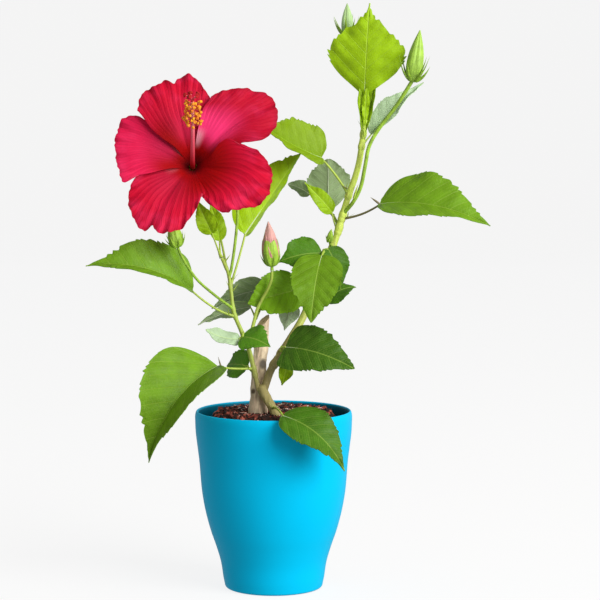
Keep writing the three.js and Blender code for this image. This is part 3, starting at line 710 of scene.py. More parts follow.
class BloomSettings(PropertyGroup):
    """The open bloom."""

    petal: FloatVectorProperty(
        name="Petal", description="Colour of the petals", subtype="COLOR", size=3,
        min=0, max=1, default=screen(0.80, 0.04, 0.19),
    )
    throat: FloatVectorProperty(
        name="Throat", description="Colour deep in the throat", subtype="COLOR", size=3,
        min=0, max=1, default=screen(0.44, 0.0, 0.01),
    )
    column: FloatVectorProperty(
        name="Column", description="Colour of the column", subtype="COLOR", size=3,
        min=0, max=1, default=screen(0.90, 0.34, 0.42),
    )
    anther: FloatVectorProperty(
        name="Anther", description="Colour of the pollen", subtype="COLOR", size=3,
        min=0, max=1, default=screen(1.0, 0.74, 0.12),
    )
    stigma: FloatVectorProperty(
        name="Stigma", description="Colour of the stigma pads", subtype="COLOR", size=3,
        min=0, max=1, default=screen(0.66, 0.05, 0.08),
    )
    thickness: FloatProperty(
        name="Thickness", description="Thickness of a petal", unit="LENGTH", default=0.0005,
    )
    ruffle: FloatProperty(
        name="Ruffle", description="Height of the ruffled rim", unit="LENGTH", default=0.0016,
    )
    veins: IntProperty(name="Veins", description="Veins across a petal", min=4, default=15)
    anthers: IntProperty(name="Anthers", description="Anthers on the column", min=0, default=58)


class StageSettings(PropertyGroup):
    """Floor, lights and camera."""

    floor: FloatVectorProperty(
        name="Floor", description="Colour of the floor", subtype="COLOR", size=3,
        min=0, max=1, default=(0.12, 0.12, 0.12),
    )
    glow: FloatProperty(name="Glow", description="Light that the backdrop gives off", default=0.84)
    air: FloatProperty(name="Air", description="Strength of the light from all sides", default=0.36)
    key: FloatProperty(name="Key", description="Power of the main light", unit="POWER", default=98.0)
    fill: FloatProperty(name="Fill", description="Power of the fill light", unit="POWER", default=1.5)
    lens: FloatProperty(name="Lens", description="Focal length", unit="CAMERA", default=130.5)


class PlantSettings(PropertyGroup):
    """All settings of the potted plant."""

    pot: PointerProperty(type=PotSettings, name="Pot")
    soil: PointerProperty(type=SoilSettings, name="Soil")
    bark: PointerProperty(type=BarkSettings, name="Bark")
    leaf: PointerProperty(type=LeafSettings, name="Leaves")
    bud: PointerProperty(type=BudSettings, name="Buds")
    bloom: PointerProperty(type=BloomSettings, name="Bloom")
    stage: PointerProperty(type=StageSettings, name="Stage")


# Curves and relief


def unit(v):
    """Vectors scaled to length 1."""
    v = np.asarray(v, float)
    return v / np.linalg.norm(v, axis=-1, keepdims=True)


def smooth(x, low, high):
    """The smooth step 3k^2 - 2k^3, with k the way of x from low to high."""
    k = np.clip((x - low) / (high - low), 0, 1)
    return k * k * (3 - 2 * k)


def mix(a, b, share):
    """a at share 0, b at share 1, and a straight line between."""
    return a + (b - a) * share


def about(vectors, way):
    """The part of vectors that is square to way, at length 1."""
    return unit(vectors - (vectors * way).sum(-1, keepdims=True) * way)


ROUTE_STEPS = 48  # points from one given point of a route to the next
RIPPLE_WAVES = 26


class Route:
    """A centripetal Catmull-Rom curve through points, read by the share of its length.

    Between two points it is the cubic with their places and the slopes that the four nearest
    points give, each weighed by the square root of its distance.
    """

    def __init__(self, points):
        p = np.asarray(points, float)
        if len(p) == 2:
            p = np.stack([p[0], p.mean(0), p[1]])
        p = np.vstack([2 * p[0] - p[1], p, 2 * p[-1] - p[-2]])
        step = np.sqrt(np.linalg.norm(np.diff(p, axis=0), axis=1))[:, None]
        a, b, c, d = p[:-3], p[1:-2], p[2:-1], p[3:]
        before, here, after = step[:-2], step[1:-1], step[2:]
        out = here * ((b - a) / before - (c - a) / (before + here) + (c - b) / here)
        into = here * ((c - b) / here - (d - b) / (here + after) + (d - c) / after)
        u = np.linspace(0, 1, ROUTE_STEPS, endpoint=False)[None, :, None]
        b, c, out, into = (x[:, None, :] for x in (b, c, out, into))
        cubic = b + u * out + u**2 * (3 * (c - b) - 2 * out - into) + u**3 * (2 * (b - c) + out + into)
        self.points = np.vstack([cubic.reshape(-1, p.shape[1]), p[-2]])
        length = np.linalg.norm(np.diff(self.points, axis=0), axis=1)
        self.length = float(length.sum())
        self.share = np.concatenate([[0], np.cumsum(length)]) / self.length

    def at(self, share):
        """Points at shares of the length."""
        share = np.asarray(share, float)
        ways = [np.interp(share, self.share, axis) for axis in self.points.T]
        return np.stack(ways, -1)

    def way(self, share):
        """Directions at shares of the length."""
        share = np.asarray(share, float)
        return unit(self.at(np.minimum(share + 0.01, 1)) - self.at(np.maximum(share - 0.01, 0)))

    def share_at(self, height):
        """The share of the length at which the curve passes a height."""
        return float(np.interp(height, self.points[:, 2], self.share))


def ripple(points, wavelength, seed):
    """Random relief of about -1 to 1: a sum of plane waves of like length in random directions."""
    draw = np.random.default_rng(seed)
    spread = draw.uniform(0.6, 1.7, (RIPPLE_WAVES, 1))
    ways = unit(draw.normal(size=(RIPPLE_WAVES, 3))) * TAU / (wavelength * spread)
    phases = draw.uniform(0, TAU, RIPPLE_WAVES)
    return np.sin(points @ ways.T + phases).sum(-1) / math.sqrt(RIPPLE_WAVES)


def full_turn(sides):
    """Even angles round a full turn."""
    return TAU * np.arange(sides) / sides


def circle(first, second, sides, depth=1.0):
    """The ways round each row of a limb: cos a . first + depth sin a . second."""
    turn = full_turn(sides)[:, None]
    return np.cos(turn) * first[:, None] + depth * np.sin(turn) * second[:, None]


def turned(first, second, turn):
    """The way at one angle from first towards second."""
    return math.cos(turn) * first + math.sin(turn) * second


# Meshes


def ring_faces(rows, sides):
    """Quads between neighbouring rings of points, closed round each ring."""
    i, j = np.meshgrid(np.arange(rows - 1), np.arange(sides), indexing="ij")
    after = (j + 1) % sides
    corners = [i * sides + j, i * sides + after, (i + 1) * sides + after, (i + 1) * sides + j]
    return np.stack(corners, -1).reshape(-1, 4)


class Sheaf:
    """Closed surfaces gathered into one mesh, each with a pattern map, a tint and an under side."""

    def __init__(self):
        self.points = []
        self.faces = {3: [], 4: []}
        self.maps = {3: [], 4: []}
        self.marks = {3: [], 4: []}
        self.count = 0

    def add(self, faces, maps, marks):
        """Faces as rows of point numbers, the pattern map of their corners, and tint and side."""
        kind = faces.shape[1]
        self.faces[kind].append(faces + self.count)
        self.maps[kind].append(maps)
        self.marks[kind].append(marks)

    def skin(self, rings, pattern, tint=0.0, under=None):
        """A skin over rings of points, closed round each ring and by a strip across both ends.

        pattern has one column more than the rings, so that it can wrap. A surface whose signed
        volume, the sum of a . (b x c) / 6 over its triangles, is negative is turned round.
        """
        rows, sides = rings.shape[:2]
        quads = ring_faces(rows, sides)
        corners = [pattern[:-1, :-1], pattern[:-1, 1:], pattern[1:, 1:], pattern[1:, :-1]]
        quad_maps = np.stack(corners, -2)
        half = sides // 2
        low = np.arange(half - 1)
        high = sides - 1 - low
        first = np.stack([high, high - 1, low + 1, low], -1)
        last = (rows - 1) * sides + first[:, ::-1]
        ends = np.vstack([first, last])
        end_maps = np.concatenate([pattern[0, first], pattern[-1, first[:, ::-1]]])
        flat = rings.reshape(-1, 3)
        a, b, c, d = (flat[quads[:, corner]] for corner in range(4))
        volume = (a * np.cross(b, c)).sum() + (a * np.cross(c, d)).sum()
        turn = slice(None, None, -1) if volume < 0 else slice(None)
        side = np.zeros(sides) if under is None else under
        side = np.broadcast_to(side, (rows - 1, sides)).ravel()
        marks = np.stack([np.full(len(quads), tint), side], -1)
        self.add(quads[:, turn], quad_maps.reshape(-1, 4, 2)[:, turn], marks)
        end_marks = np.stack([np.full(len(ends), tint), np.zeros(len(ends))], -1)
        self.add(ends[:, turn], end_maps[:, turn], end_marks)
        self.points.append(flat)
        self.count += len(flat)

    def copies(self, points, faces, tints):
        """Many closed blocks of the same faces: points is copies by corners by 3."""
        number, corners = points.shape[:2]
        shift = np.arange(number)[:, None, None] * corners
        every = (faces[None] + shift).reshape(-1, faces.shape[1])
        marks = np.stack([np.repeat(tints, len(faces)), np.zeros(len(every))], -1)
        self.add(every, np.zeros((*every.shape, 2)), marks)
        self.points.append(points.reshape(-1, 3))
        self.count += number * corners

    def build(self, name, material, slot, nodes=(), crease=40.0):
        """The mesh as an object on the plant's body, which stands for CAD nodes."""
        mesh = bpy.data.meshes.new(name)
        faces, maps, marks = [], [], []
        for kind in (4, 3):
            if self.faces[kind]:
                faces += np.concatenate(self.faces[kind]).tolist()
                maps.append(np.concatenate(self.maps[kind]).reshape(-1, 2))
                marks.append(np.concatenate(self.marks[kind]))
        mesh.from_pydata((np.concatenate(self.points) * MM).tolist(), [], faces)
        layer = mesh.uv_layers.new(name="pattern")
        layer.data.foreach_set("uv", np.concatenate(maps).astype(np.float32).ravel())
        marks = np.concatenate(marks).astype(np.float32)
        for column, label in enumerate(("tint", "under")):
            made = mesh.attributes.new(label, "FLOAT", "FACE")
            made.data.foreach_set("value", np.ascontiguousarray(marks[:, column]))
        mesh.polygons.foreach_set("use_smooth", np.ones(len(mesh.polygons), bool))
        mesh.set_sharp_from_angle(angle=math.radians(crease))
        mesh.materials.append(material)
        piece = bpy.data.objects.new(name, mesh)
        bpy.context.scene.collection.objects.link(piece)
        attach(piece, "root")
        if nodes:
            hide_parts(*nodes)
        return piece


def across(ways):
    """Two directions square to each way. The first leans on the axis that no way comes near."""
    axes = np.eye(3)
    reference = axes[np.abs(ways @ axes.T).max(0).argmin()]
    first = about(np.broadcast_to(reference, ways.shape), ways)
    return first, np.cross(ways, first)


def tube(route, shares, radius, sides):
    """Rings round a route: centre + radius (cos a . first + sin a . second), and their map.

    radius is one number for each ring, or one for each ring and side.
    """
    shares = np.asarray(shares, float)
    first, second = across(route.way(shares))
    radius = np.broadcast_to(np.asarray(radius, float).reshape(len(shares), -1), (len(shares), sides))
    rings = route.at(shares)[:, None, :] + radius[..., None] * circle(first, second, sides)
    return rings, tube_map(shares, sides)


def tube_map(shares, sides):
    """The pattern map of a tube: share of the way round, share of the way along."""
    u, v = np.meshgrid(np.arange(sides + 1) / sides, shares)
    return np.stack([u, v], -1)


def blob(centre, way, length, radius, sides=10, rows=8, pinch=0.0):
    """Rings of an egg round a centre: radius sin(pi k), pinched along its middle."""
    k = np.linspace(0.06, 0.94, rows)
    centres = np.asarray(centre) + (k[:, None] - 0.5) * length * way
    first, second = across(np.broadcast_to(way, (rows, 3)))
    reach = radius * np.sin(math.pi * k)[:, None] * (1 - pinch * np.cos(full_turn(sides)) ** 8)
    return centres[:, None] + reach[..., None] * circle(first, second, sides)


# Finishes


class Finish:
    """The node tree of one finish, built node by node."""

    def __init__(self, name, roughness, **sockets):
        self.material = bpy.data.materials.new(name)
        self.material.use_nodes = True
        self.tree = self.material.node_tree
        self.shader = self.tree.nodes["Principled BSDF"]
        self.shader.inputs["Roughness"].default_value = roughness
        for socket, value in sockets.items():
            self.shader.inputs[socket.replace("_", " ")].default_value = value

    def node(self, kind, settings, feeds):
        """A node with its settings, and its inputs fed by sockets, numbers or colours."""
        made = self.tree.nodes.new("ShaderNode" + kind)
        for key, value in settings.items():
            setattr(made, key, value)
        for key, value in feeds.items():
            self.feed(made.inputs[key], value)
        return made

    def feed(self, socket, value):
        """Links an input to another node's output, or sets its own value."""
        if isinstance(value, bpy.types.NodeSocket):
            self.tree.links.new(value, socket)
        elif socket.type == "RGBA" and len(value) == 3:
            socket.default_value = (*value, 1)
        else:
            socket.default_value = value

    def math(self, operation, *values):
        """The result of one sum."""
        return self.node("Math", {"operation": operation}, dict(enumerate(values))).outputs[0]

    def blend(self, a, b, share):
        """Colour a where share is 0 and b where it is 1."""
        feeds = {"Factor": share, 6: a, 7: b}
        return self.node("Mix", {"data_type": "RGBA", "blend_type": "MIX"}, feeds).outputs[2]

    def step(self, value, low, high, first=0.0, last=1.0):
        """A smooth step of a value, from first at low to last at high."""
        settings = {"interpolation_type": "SMOOTHSTEP"}
        feeds = {"Value": value, "From Min": low, "From Max": high, "To Min": first, "To Max": last}
        return self.node("MapRange", settings, feeds).outputs[0]

    def noise(self, scale, detail, stretch=(1, 1, 1)):
        """Noise on object coordinates, drawn out by a stretch."""
        place = self.tree.nodes.new("ShaderNodeTexCoord").outputs["Object"]
        place = self.node("Mapping", {}, {"Vector": place, "Scale": stretch}).outputs[0]
        feeds = {"Vector": place, "Scale": scale, "Detail": detail, "Roughness": 0.55}
        return self.node("TexNoise", {}, feeds).outputs["Fac"]

    def cells(self, scale, feature="DISTANCE_TO_EDGE"):
        """Voronoi cells on object coordinates."""
        place = self.tree.nodes.new("ShaderNodeTexCoord").outputs["Object"]
        feeds = {"Vector": place, "Scale": scale}
        return self.node("TexVoronoi", {"feature": feature}, feeds).outputs[0]

    def pattern(self):
        """The two values of the surface's own pattern map."""
        uv = self.node("UVMap", {"uv_map": "pattern"}, {}).outputs[0]
        split = self.node("SeparateXYZ", {}, {"Vector": uv})
        return split.outputs[0], split.outputs[1]

    def mark(self, name):
        """A value that each face carries."""
        return self.node("Attribute", {"attribute_name": name}, {}).outputs["Fac"]

    def near(self, place, reach, ragged):
        """0.85 at a place in millimetres and 0 away from it: the distance, plus a ragged value's
        share of the reach, steps down between one reach and one and a half."""
        spot = self.tree.nodes.new("ShaderNodeTexCoord").outputs["Object"]
        feeds = {0: spot, 1: tuple(MM * value for value in place)}
        away = self.node("VectorMath", {"operation": "DISTANCE"}, feeds).outputs["Value"]
        away = self.math("ADD", away, self.math("MULTIPLY", ragged, reach * MM))
        return self.step(away, reach * MM, reach * MM * 1.5, 0.85, 0.0)

    def line(self, value, width):
        """1 on whole values, falling to 0 at a width beside them."""
        return self.step(self.math("PINGPONG", value, 0.5), 0.0, width, 1.0, 0.0)

    def bump(self, height, distance, strength):
        """Bumps of a height map, distance in millimetres."""
        feeds = {"Height": height, "Distance": distance * MM, "Strength": strength}
        self.feed(self.shader.inputs["Normal"], self.node("Bump", {}, feeds).outputs[0])

    def done(self, colour, roughness=None):
        """The finished material."""
        self.feed(self.shader.inputs["Base Color"], colour)
        if roughness is not None:
            self.feed(self.shader.inputs["Roughness"], roughness)
        return self.material


def shade(colour, factor):
    """A colour times a factor, at most 1."""
    return tuple(min(1.0, c * factor) for c in colour)


def towards(colour, other, share):
    """A colour moved towards another."""
    return tuple(mix(a, b, share) for a, b in zip(colour, other))


def plastic_finish(settings):
    """Satin plastic: one colour with a faint mould grain and fine rubbed marks, with painted shade
    inside, where the map has passed the lip."""
    colour = tuple(settings.colour)
    skin = Finish("pot_plastic", settings.gloss, Specular_IOR_Level=0.06)
    grain = skin.noise(1400.0, 2.0)
    cloud = skin.noise(14.0, 3.0)
    rubbed = skin.noise(35.0, 5.0)
    skin.bump(grain, 0.012, 0.4)
    base = skin.blend(shade(colour, 0.95), shade(colour, 1.04), cloud)
    _, along = skin.pattern()
    # painted shade: the pot's inside darkened where the map has passed the lip
    base = skin.blend(base, shade(colour, POT_INSIDE_PAINTED_SHADE), skin.step(along, *POT_PAINTED_SHADE_STEP))
    rough = skin.step(rubbed, 0.35, 0.75, settings.gloss - 0.03, settings.gloss + 0.06)
    return skin.done(base, rough)


def soil_finish(name, colour, scatter):
    """Crumbly soil: darker and lighter grains, with cells and grains raised. A face's tint takes it
    towards the scatter colour."""
    skin = Finish(name, 0.95)
    cells = skin.cells(520.0, "F1")
    grain = skin.noise(700.0, 6.0)
    tint = skin.mark("tint")
    base = skin.blend(shade(colour, 0.45), shade(colour, 1.35), skin.step(grain, 0.3, 0.7))
    base = skin.blend(base, scatter, skin.step(tint, 0.0, 1.0))
    skin.bump(skin.math("ADD", cells, grain), 0.5, 0.8)
    return skin.done(base)


def trunk_finish(colour):
    """Old bark: pale grey-brown with darker lengthwise streaks, stained at the foot, and a pale
    cut face with growth rings where the map runs past 1."""
    skin = Finish("old_bark", 0.85)
    _, along = skin.pattern()
    streak = skin.noise(260.0, 6.0, (1, 1, 0.18))
    blotch = skin.noise(75.0, 4.0, (1, 1, 0.5))
    base = skin.blend(shade(colour, 0.66), shade(colour, 1.15), skin.step(streak, 0.32, 0.66))
    base = skin.blend(base, shade(colour, 0.5), skin.step(blotch, 0.56, 0.76, 0.0, 0.45))
    for place, reach, stain in TRUNK_STAINS:
        base = skin.blend(base, screen(*stain), skin.near(place, reach, blotch))
    foot = skin.step(along, 0.0, 0.1, 0.3, 0.0)
    base = skin.blend(base, screen(0.30, 0.22, 0.17), foot)
    rings = skin.math("PINGPONG", skin.math("MULTIPLY", skin.math("SUBTRACT", along, 1.0), 7.0), 0.5)
    wood = skin.blend(screen(0.80, 0.72, 0.54), screen(0.66, 0.55, 0.38), skin.step(rings, 0.25, 0.5))
    heart = skin.step(along, 1.75, 2.0)
    wood = skin.blend(wood, screen(0.45, 0.34, 0.24), heart)
    base = skin.blend(base, wood, skin.step(along, 1.01, 1.06))
    skin.bump(streak, 0.5, 0.9)
    return skin.done(base)


def stem_finish(name, low, high, change, roughness, speckle):
    """Stem skin whose colour changes along the limb, with fine ribs and small pale pores, and
    brown where a face's tint is 1."""
    skin = Finish(name, roughness)
    _, along = skin.pattern()
    streak = skin.noise(420.0, 4.0, (1, 1, 0.12))
    patch = skin.noise(120.0, 4.0, (1, 1, 0.4))
    way = skin.math("ADD", along, skin.math("MULTIPLY", skin.math("SUBTRACT", patch, 0.5), 0.25))
    base = skin.blend(low, high, skin.step(way, *change))
    base = skin.blend(base, shade(low, 0.72), skin.step(streak, 0.48, 0.7, 0.0, 0.55))
    base = skin.blend(base, screen(0.47, 0.42, 0.29), skin.step(skin.mark("tint"), 0.0, 1.0))
    pores = skin.step(skin.cells(480.0, "F1"), 0.1, 0.28, speckle, 0.0)
    base = skin.blend(base, screen(0.82, 0.78, 0.62), pores)
    skin.bump(streak, 0.25, 0.8)
    return skin.done(base)


def leaf_finish(name, colour):
    """A leaf: veins follow the pattern map, whose first value is whole on a side vein and whose
    second is the distance from the midrib in millimetres. The under side is paler and greyer."""
    skin = Finish(name, 0.46, Specular_IOR_Level=0.2)
    vein, rib = skin.pattern()
    tint, under = skin.mark("tint"), skin.mark("under")
    side_vein = skin.line(vein, 0.04)
    fine_vein = skin.math("MULTIPLY", skin.line(skin.math("MULTIPLY", vein, 4.0), 0.16), 0.3)
    midrib = skin.step(skin.math("ABSOLUTE", rib), 0.15, 0.75, 1.0, 0.0)
    net = skin.step(skin.cells(620.0), 0.0, 0.16, 1.0, 0.0)
    cloud = skin.noise(85.0, 5.0)
    fleck = skin.noise(420.0, 3.0)
    base = skin.blend(shade(colour, 0.84), shade(colour, 1.14), skin.step(cloud, 0.3, 0.7))
    # tint: partly the leaf's own tone, partly painted shade (above 0) and painted light (below 0)
    base = skin.blend(base, shade(colour, 0.62), skin.math("MULTIPLY", tint, 0.5))
    base = skin.blend(base, shade(colour, 1.45), skin.math("MULTIPLY", tint, -0.5))
    base = skin.blend(base, shade(colour, 0.7), skin.step(fleck, 0.55, 0.8, 0.0, 0.35))
    pale = towards(colour, screen(0.80, 0.90, 0.42), 0.38)
    base = skin.blend(base, pale, skin.math("MULTIPLY", net, 0.16))
    base = skin.blend(base, pale, skin.math("MULTIPLY", fine_vein, 0.5))
    base = skin.blend(base, pale, skin.math("MULTIPLY", side_vein, 0.5))
    base = skin.blend(base, pale, skin.math("MULTIPLY", midrib, 0.7))
    grey = towards(shade(colour, 1.15), screen(0.66, 0.74, 0.58), 0.55)
    below = skin.blend(grey, towards(grey, (1, 1, 0.85), 0.3), skin.math("MAXIMUM", side_vein, midrib))
    base = skin.blend(base, below, under)
    sunk = skin.math("MAXIMUM", skin.math("MAXIMUM", side_vein, midrib), skin.math("MULTIPLY", net, 0.35))
    height = skin.math("SUBTRACT", skin.math("MULTIPLY", fleck, 0.25), sunk)
    skin.bump(height, 0.32, 0.75)
    rough = skin.step(cloud, 0.3, 0.7, 0.36, 0.5)
    return skin.done(base, rough)


def petal_finish(settings, light, rose):
    """A velvety petal: deep throat, red heart, rose blade, fine fan veins, and a painted pink
    highlight and a painted pale highlight on the half beside its lit edge. The map holds the place
    across in veins, more than 0 on the half that takes the painted highlights, and the share of the
    way from the throat to the rim."""
    # light: a darker or lighter copy of the petal colour, painted shade and light for how much key light this
    # petal gets
    petal = towards(shade(settings.petal, light), screen(0.92, 0.14, 0.36), rose)
    throat = tuple(settings.throat)
    skin = Finish(
        "petal", 0.6, Sheen_Weight=0.05, Sheen_Roughness=0.4,
        Sheen_Tint=(1.0, 0.3, 0.5, 1.0), Specular_IOR_Level=0.1,
    )
    across_share, out = skin.pattern()
    under = skin.mark("under")
    wander = skin.math("MULTIPLY", skin.math("SUBTRACT", skin.noise(70.0, 3.0), 0.5), 0.9)
    place = skin.math("ADD", across_share, wander)
    vein = skin.line(place, 0.1)
    twice = skin.line(skin.math("MULTIPLY", place, 2.0), 0.16)
    fork = skin.math("MULTIPLY", twice, skin.step(out, 0.35, 0.6))
    fine = skin.math("MULTIPLY", skin.line(skin.math("MULTIPLY", place, 5.0), 0.3), 0.5)
    streak = skin.noise(55.0, 4.0)
    heart = screen(0.64, 0.0, 0.0)
    base = skin.blend(heart, petal, skin.step(out, 0.3, 0.74))
    edge = towards(petal, shade(screen(0.92, 0.20, 0.40), light), 0.5)
    glow = skin.math("MULTIPLY", skin.step(out, 0.5, 0.9), skin.step(streak, 0.4, 0.7))
    base = skin.blend(base, edge, glow)
    side = skin.math("DIVIDE", across_share, settings.veins / 2)
    band = skin.math("MULTIPLY", skin.step(out, 0.16, 0.34), skin.step(out, 0.4, 0.76, 1.0, 0.0))
    # painted highlight: a pink band over the half beside the lit edge, as strong as the face's tint
    flush = skin.math("MULTIPLY", skin.math("MULTIPLY", band, skin.step(side, -0.85, 0.2)), skin.mark("tint"))
    base = skin.blend(base, screen(0.97, 0.22, 0.47), flush)
    # painted highlight: a pale pink spot near the throat on the same half
    painted_pale_highlight = skin.math("MULTIPLY", skin.step(out, 0.14, 0.22), skin.step(out, 0.24, 0.36, 1.0, 0.0))
    painted_pale_highlight = skin.math("MULTIPLY", skin.math("MULTIPLY", painted_pale_highlight, skin.step(side, 0.45, 0.9)), skin.mark("tint"))
    base = skin.blend(base, screen(1.0, 0.74, 0.80), skin.math("MULTIPLY", painted_pale_highlight, 0.6))
    dark = shade(petal, 0.5)
    base = skin.blend(base, dark, skin.math("MULTIPLY", skin.math("MAXIMUM", vein, fork), 0.16))
    base = skin.blend(base, shade(petal, 0.7), skin.math("MULTIPLY", fine, 0.25))
    base = skin.blend(base, shade(petal, 0.45), skin.step(out, 0.94, 1.0, 0.0, 0.4))
    deep = skin.step(skin.math("ADD", out, skin.math("MULTIPLY", vein, -0.04)), 0.06, 0.17, 1.0, 0.0)
    base = skin.blend(base, throat, deep)
    base = skin.blend(base, towards(petal, screen(0.86, 0.42, 0.50), 0.35), skin.math("MULTIPLY", under, 0.6))
    height = skin.math("ADD", skin.math("MAXIMUM", vein, fork), skin.math("MULTIPLY", fine, 0.6))
    skin.bump(height, 0.22, 0.7)
    return skin.done(base)


def soft_finish(name, colour, other, scale, roughness, bump):
    """A small soft organ: two near colours in fine clouds, with a fine grain."""
    skin = Finish(name, roughness)
    cloud = skin.noise(scale, 4.0)
    grain = skin.noise(scale * 6, 2.0)
    skin.bump(grain, bump, 0.8)
    base = skin.blend(colour, other, skin.step(cloud, 0.35, 0.65))
    return skin.done(base)


def column_finish(colour):
    """The column's skin: deep red where it leaves the throat, paler towards its top."""
    skin = Finish("column", 0.5)
    _, along = skin.pattern()
    base = skin.blend(screen(0.72, 0.04, 0.10), colour, skin.step(along, 0.1, 0.6))
    base = skin.blend(base, towards(colour, screen(0.97, 0.80, 0.76), 0.5), skin.step(along, 0.55, 0.95))
    skin.bump(skin.noise(720.0, 2.0), 0.1, 0.8)
    return skin.done(base)


def bud_finish(name, colour, tip):
    """A bud's skin: fine lengthwise veins, and another colour towards its tip."""
    skin = Finish(name, 0.5)
    round_share, along = skin.pattern()
    vein = skin.line(skin.math("MULTIPLY", round_share, 20.0), 0.22)
    cloud = skin.noise(160.0, 4.0)
    base = skin.blend(shade(colour, 0.72), shade(colour, 1.2), skin.step(cloud, 0.3, 0.7))
    base = skin.blend(base, tip, skin.step(along, 0.35, 1.0, 0.0, 0.8))
    base = skin.blend(base, screen(0.74, 0.86, 0.66), skin.step(skin.mark("tint"), 0.0, 1.0))
    base = skin.blend(base, shade(colour, 0.6), skin.math("MULTIPLY", vein, 0.35))
    skin.bump(vein, 0.15, 0.8)
    return skin.done(base)


# Pot and soil surfaces


def side_profile():
    """The pot's outer side as a route of radius and height."""
    return Route([(r, 0, z) for r, z in POT_SIDE])


def wall_at(heights, inset):
    """The radius of the pot's inner wall at heights, moved in by an inset."""
    side = side_profile().points
    return np.interp(heights, side[:, 2], side[:, 0]) - POT_WALL - inset


def revolve(profile, sides, relief=None):
    """A profile of radius and height turned round the Z axis: (r cos a, r sin a, z)."""
    profile = np.asarray(profile, float)
    turn = full_turn(sides)
    radius = np.maximum(profile[:, :1], 0.02)
    x, y = radius * np.cos(turn), radius * np.sin(turn)
    z = np.broadcast_to(profile[:, 1:2], x.shape)
    rings = np.stack([x, y, z], -1)
    if relief is not None:
        rings = relief(rings)
    return rings, tube_map(np.linspace(0, 1, len(profile)), sides)


def arc(centre, radii, start, end, count):
    """Points of an ellipse's arc: centre + (a cos t, b sin t), t from start to end in degrees."""
    t = np.radians(np.linspace(start, end, count))
    return np.stack([centre[0] + radii[0] * np.cos(t), centre[1] + radii[1] * np.sin(t)], -1)


def pot_profile():
    """The pot's section from the middle of its underside round the lip to the middle inside."""
    base = [(0, 0), (12, 0), (24, 0), (34, 0), (FOOT_RADIUS - FOOT_FILLET - 0.5, 0)]
    fillet = arc((FOOT_RADIUS - FOOT_FILLET, FOOT_FILLET), (FOOT_FILLET, FOOT_FILLET), -90, -4, 8)
    side = side_profile().at(np.linspace(0, 1, 90))[:, [0, 2]]
    lip_radius, lip_foot = POT_SIDE[-1]
    middle = (lip_radius - POT_WALL / 2, lip_foot)
    lip = arc(middle, (POT_WALL / 2, LIP_RISE * 0.94), 6, 174, 15)
    heights = np.linspace(lip_foot, POT_FLOOR + 3, 50)
    inner = np.stack([wall_at(heights, 0), heights], -1)
    corner = inner[-1, 0] - 3
    floor = [(corner, POT_FLOOR), (corner * 0.6, POT_FLOOR), (corner * 0.3, POT_FLOOR), (0, POT_FLOOR)]
    return np.vstack([base, fillet, side, lip, inner, floor])


def soil_height(radius):
    """Height of the soil's surface: level to the plateau's edge, a fall, then the steep bank."""
    edge = float(wall_at(SOIL_EDGE, SOIL_GAP))
    ways = (0, SOIL_PLATEAU, edge - SOIL_BANK, edge)
    return np.interp(radius, ways, (SOIL_TOP, SOIL_TOP, SOIL_TOP - SOIL_DIP, SOIL_EDGE))


def soil_profile():
    """The soil's section, from its bottom up the wall and in over its surface."""
    heights = np.linspace(POT_FLOOR + 0.5, SOIL_EDGE, 12)
    wall = np.stack([wall_at(heights, SOIL_GAP), heights], -1)
    radius = np.linspace(wall[-1, 0] - 0.8, 0, 62)
    top = np.stack([radius, soil_height(radius)], -1)
    return np.vstack([[(0, POT_FLOOR + 0.5)], wall, top])


BLOCK = np.array(
    [(-1, -1, -1), (1, -1, -1), (1, 1, -1), (-1, 1, -1), (-1, -1, 1), (1, -1, 1), (1, 1, 1), (-1, 1, 1)]
)
BLOCK_FACES = np.array(
    [(0, 3, 2, 1), (4, 5, 6, 7), (0, 1, 5, 4), (1, 2, 6, 5), (2, 3, 7, 6), (3, 0, 4, 7)]
)


def turns(draw, count):
    """Random rotations: the matrix of a random quaternion of length 1."""
    w, x, y, z = unit(draw.normal(size=(count, 4))).T
    return np.stack(
        [
            np.stack([1 - 2 * (y * y + z * z), 2 * (x * y - z * w), 2 * (x * z + y * w)], -1),
            np.stack([2 * (x * y + z * w), 1 - 2 * (x * x + z * z), 2 * (y * z - x * w)], -1),
            np.stack([2 * (x * z - y * w), 2 * (y * z + x * w), 1 - 2 * (x * x + y * y)], -1),
        ],
        1,
    )


def chips(draw, count, size, spread):
    """Corners of bark chips strewn over the soil: a block with jittered corners, turned at random
    and half sunk, kept off the stems' feet."""
    radius = spread * np.sqrt(draw.uniform(0, 1, count))
    turn = draw.uniform(0, TAU, count)
    places = np.stack([radius * np.cos(turn), radius * np.sin(turn), soil_height(radius)], -1)
    for name in ("trunk", "young_stem"):
        foot = np.array(LIMBS[name].path[0])
        room = LIMBS[name].radius[0] + CHIP_ROOM
        places = places[np.linalg.norm(places[:, :2] - foot[:2], axis=1) > room]
    count = len(places)
    half = size * draw.lognormal(0, 0.38, (count, 1)) * draw.uniform(0.3, 1.0, (count, 3)) * CHIP_SHAPE
    corners = (BLOCK * (1 + draw.uniform(-0.28, 0.28, (count, 8, 3)))) * half[:, None] / 2
    corners = np.einsum("nij,nkj->nki", turns(draw, count), corners)
    lift = half.min(1) * 0.35
    places[:, 2] += lift
    corners += places[:, None]
    low = corners[..., 2].max(1) < SOIL_TOP + CHIP_CEILING
    return corners[low]


# Limb surfaces


def limb_route(name, sunk):
    """A limb's route, started lower by a sunk length so that it grows out of what bears it."""
    path = np.array(LIMBS[name].path, float)
    return Route(np.vstack([path[0] + unit(path[0] - path[1]) * sunk, path]))


def limb_radius(name, share):
    """A limb's radius: a straight taper, times a flare at its foot, plus a swelling at its top."""
    limb = LIMBS[name]
    height = share * Route(limb.path).length
    taper = mix(*limb.radius, share)
    return taper * (1 + limb.flare * np.exp(-height / (2.2 * limb.radius[0]))) + limb.swell * share**4


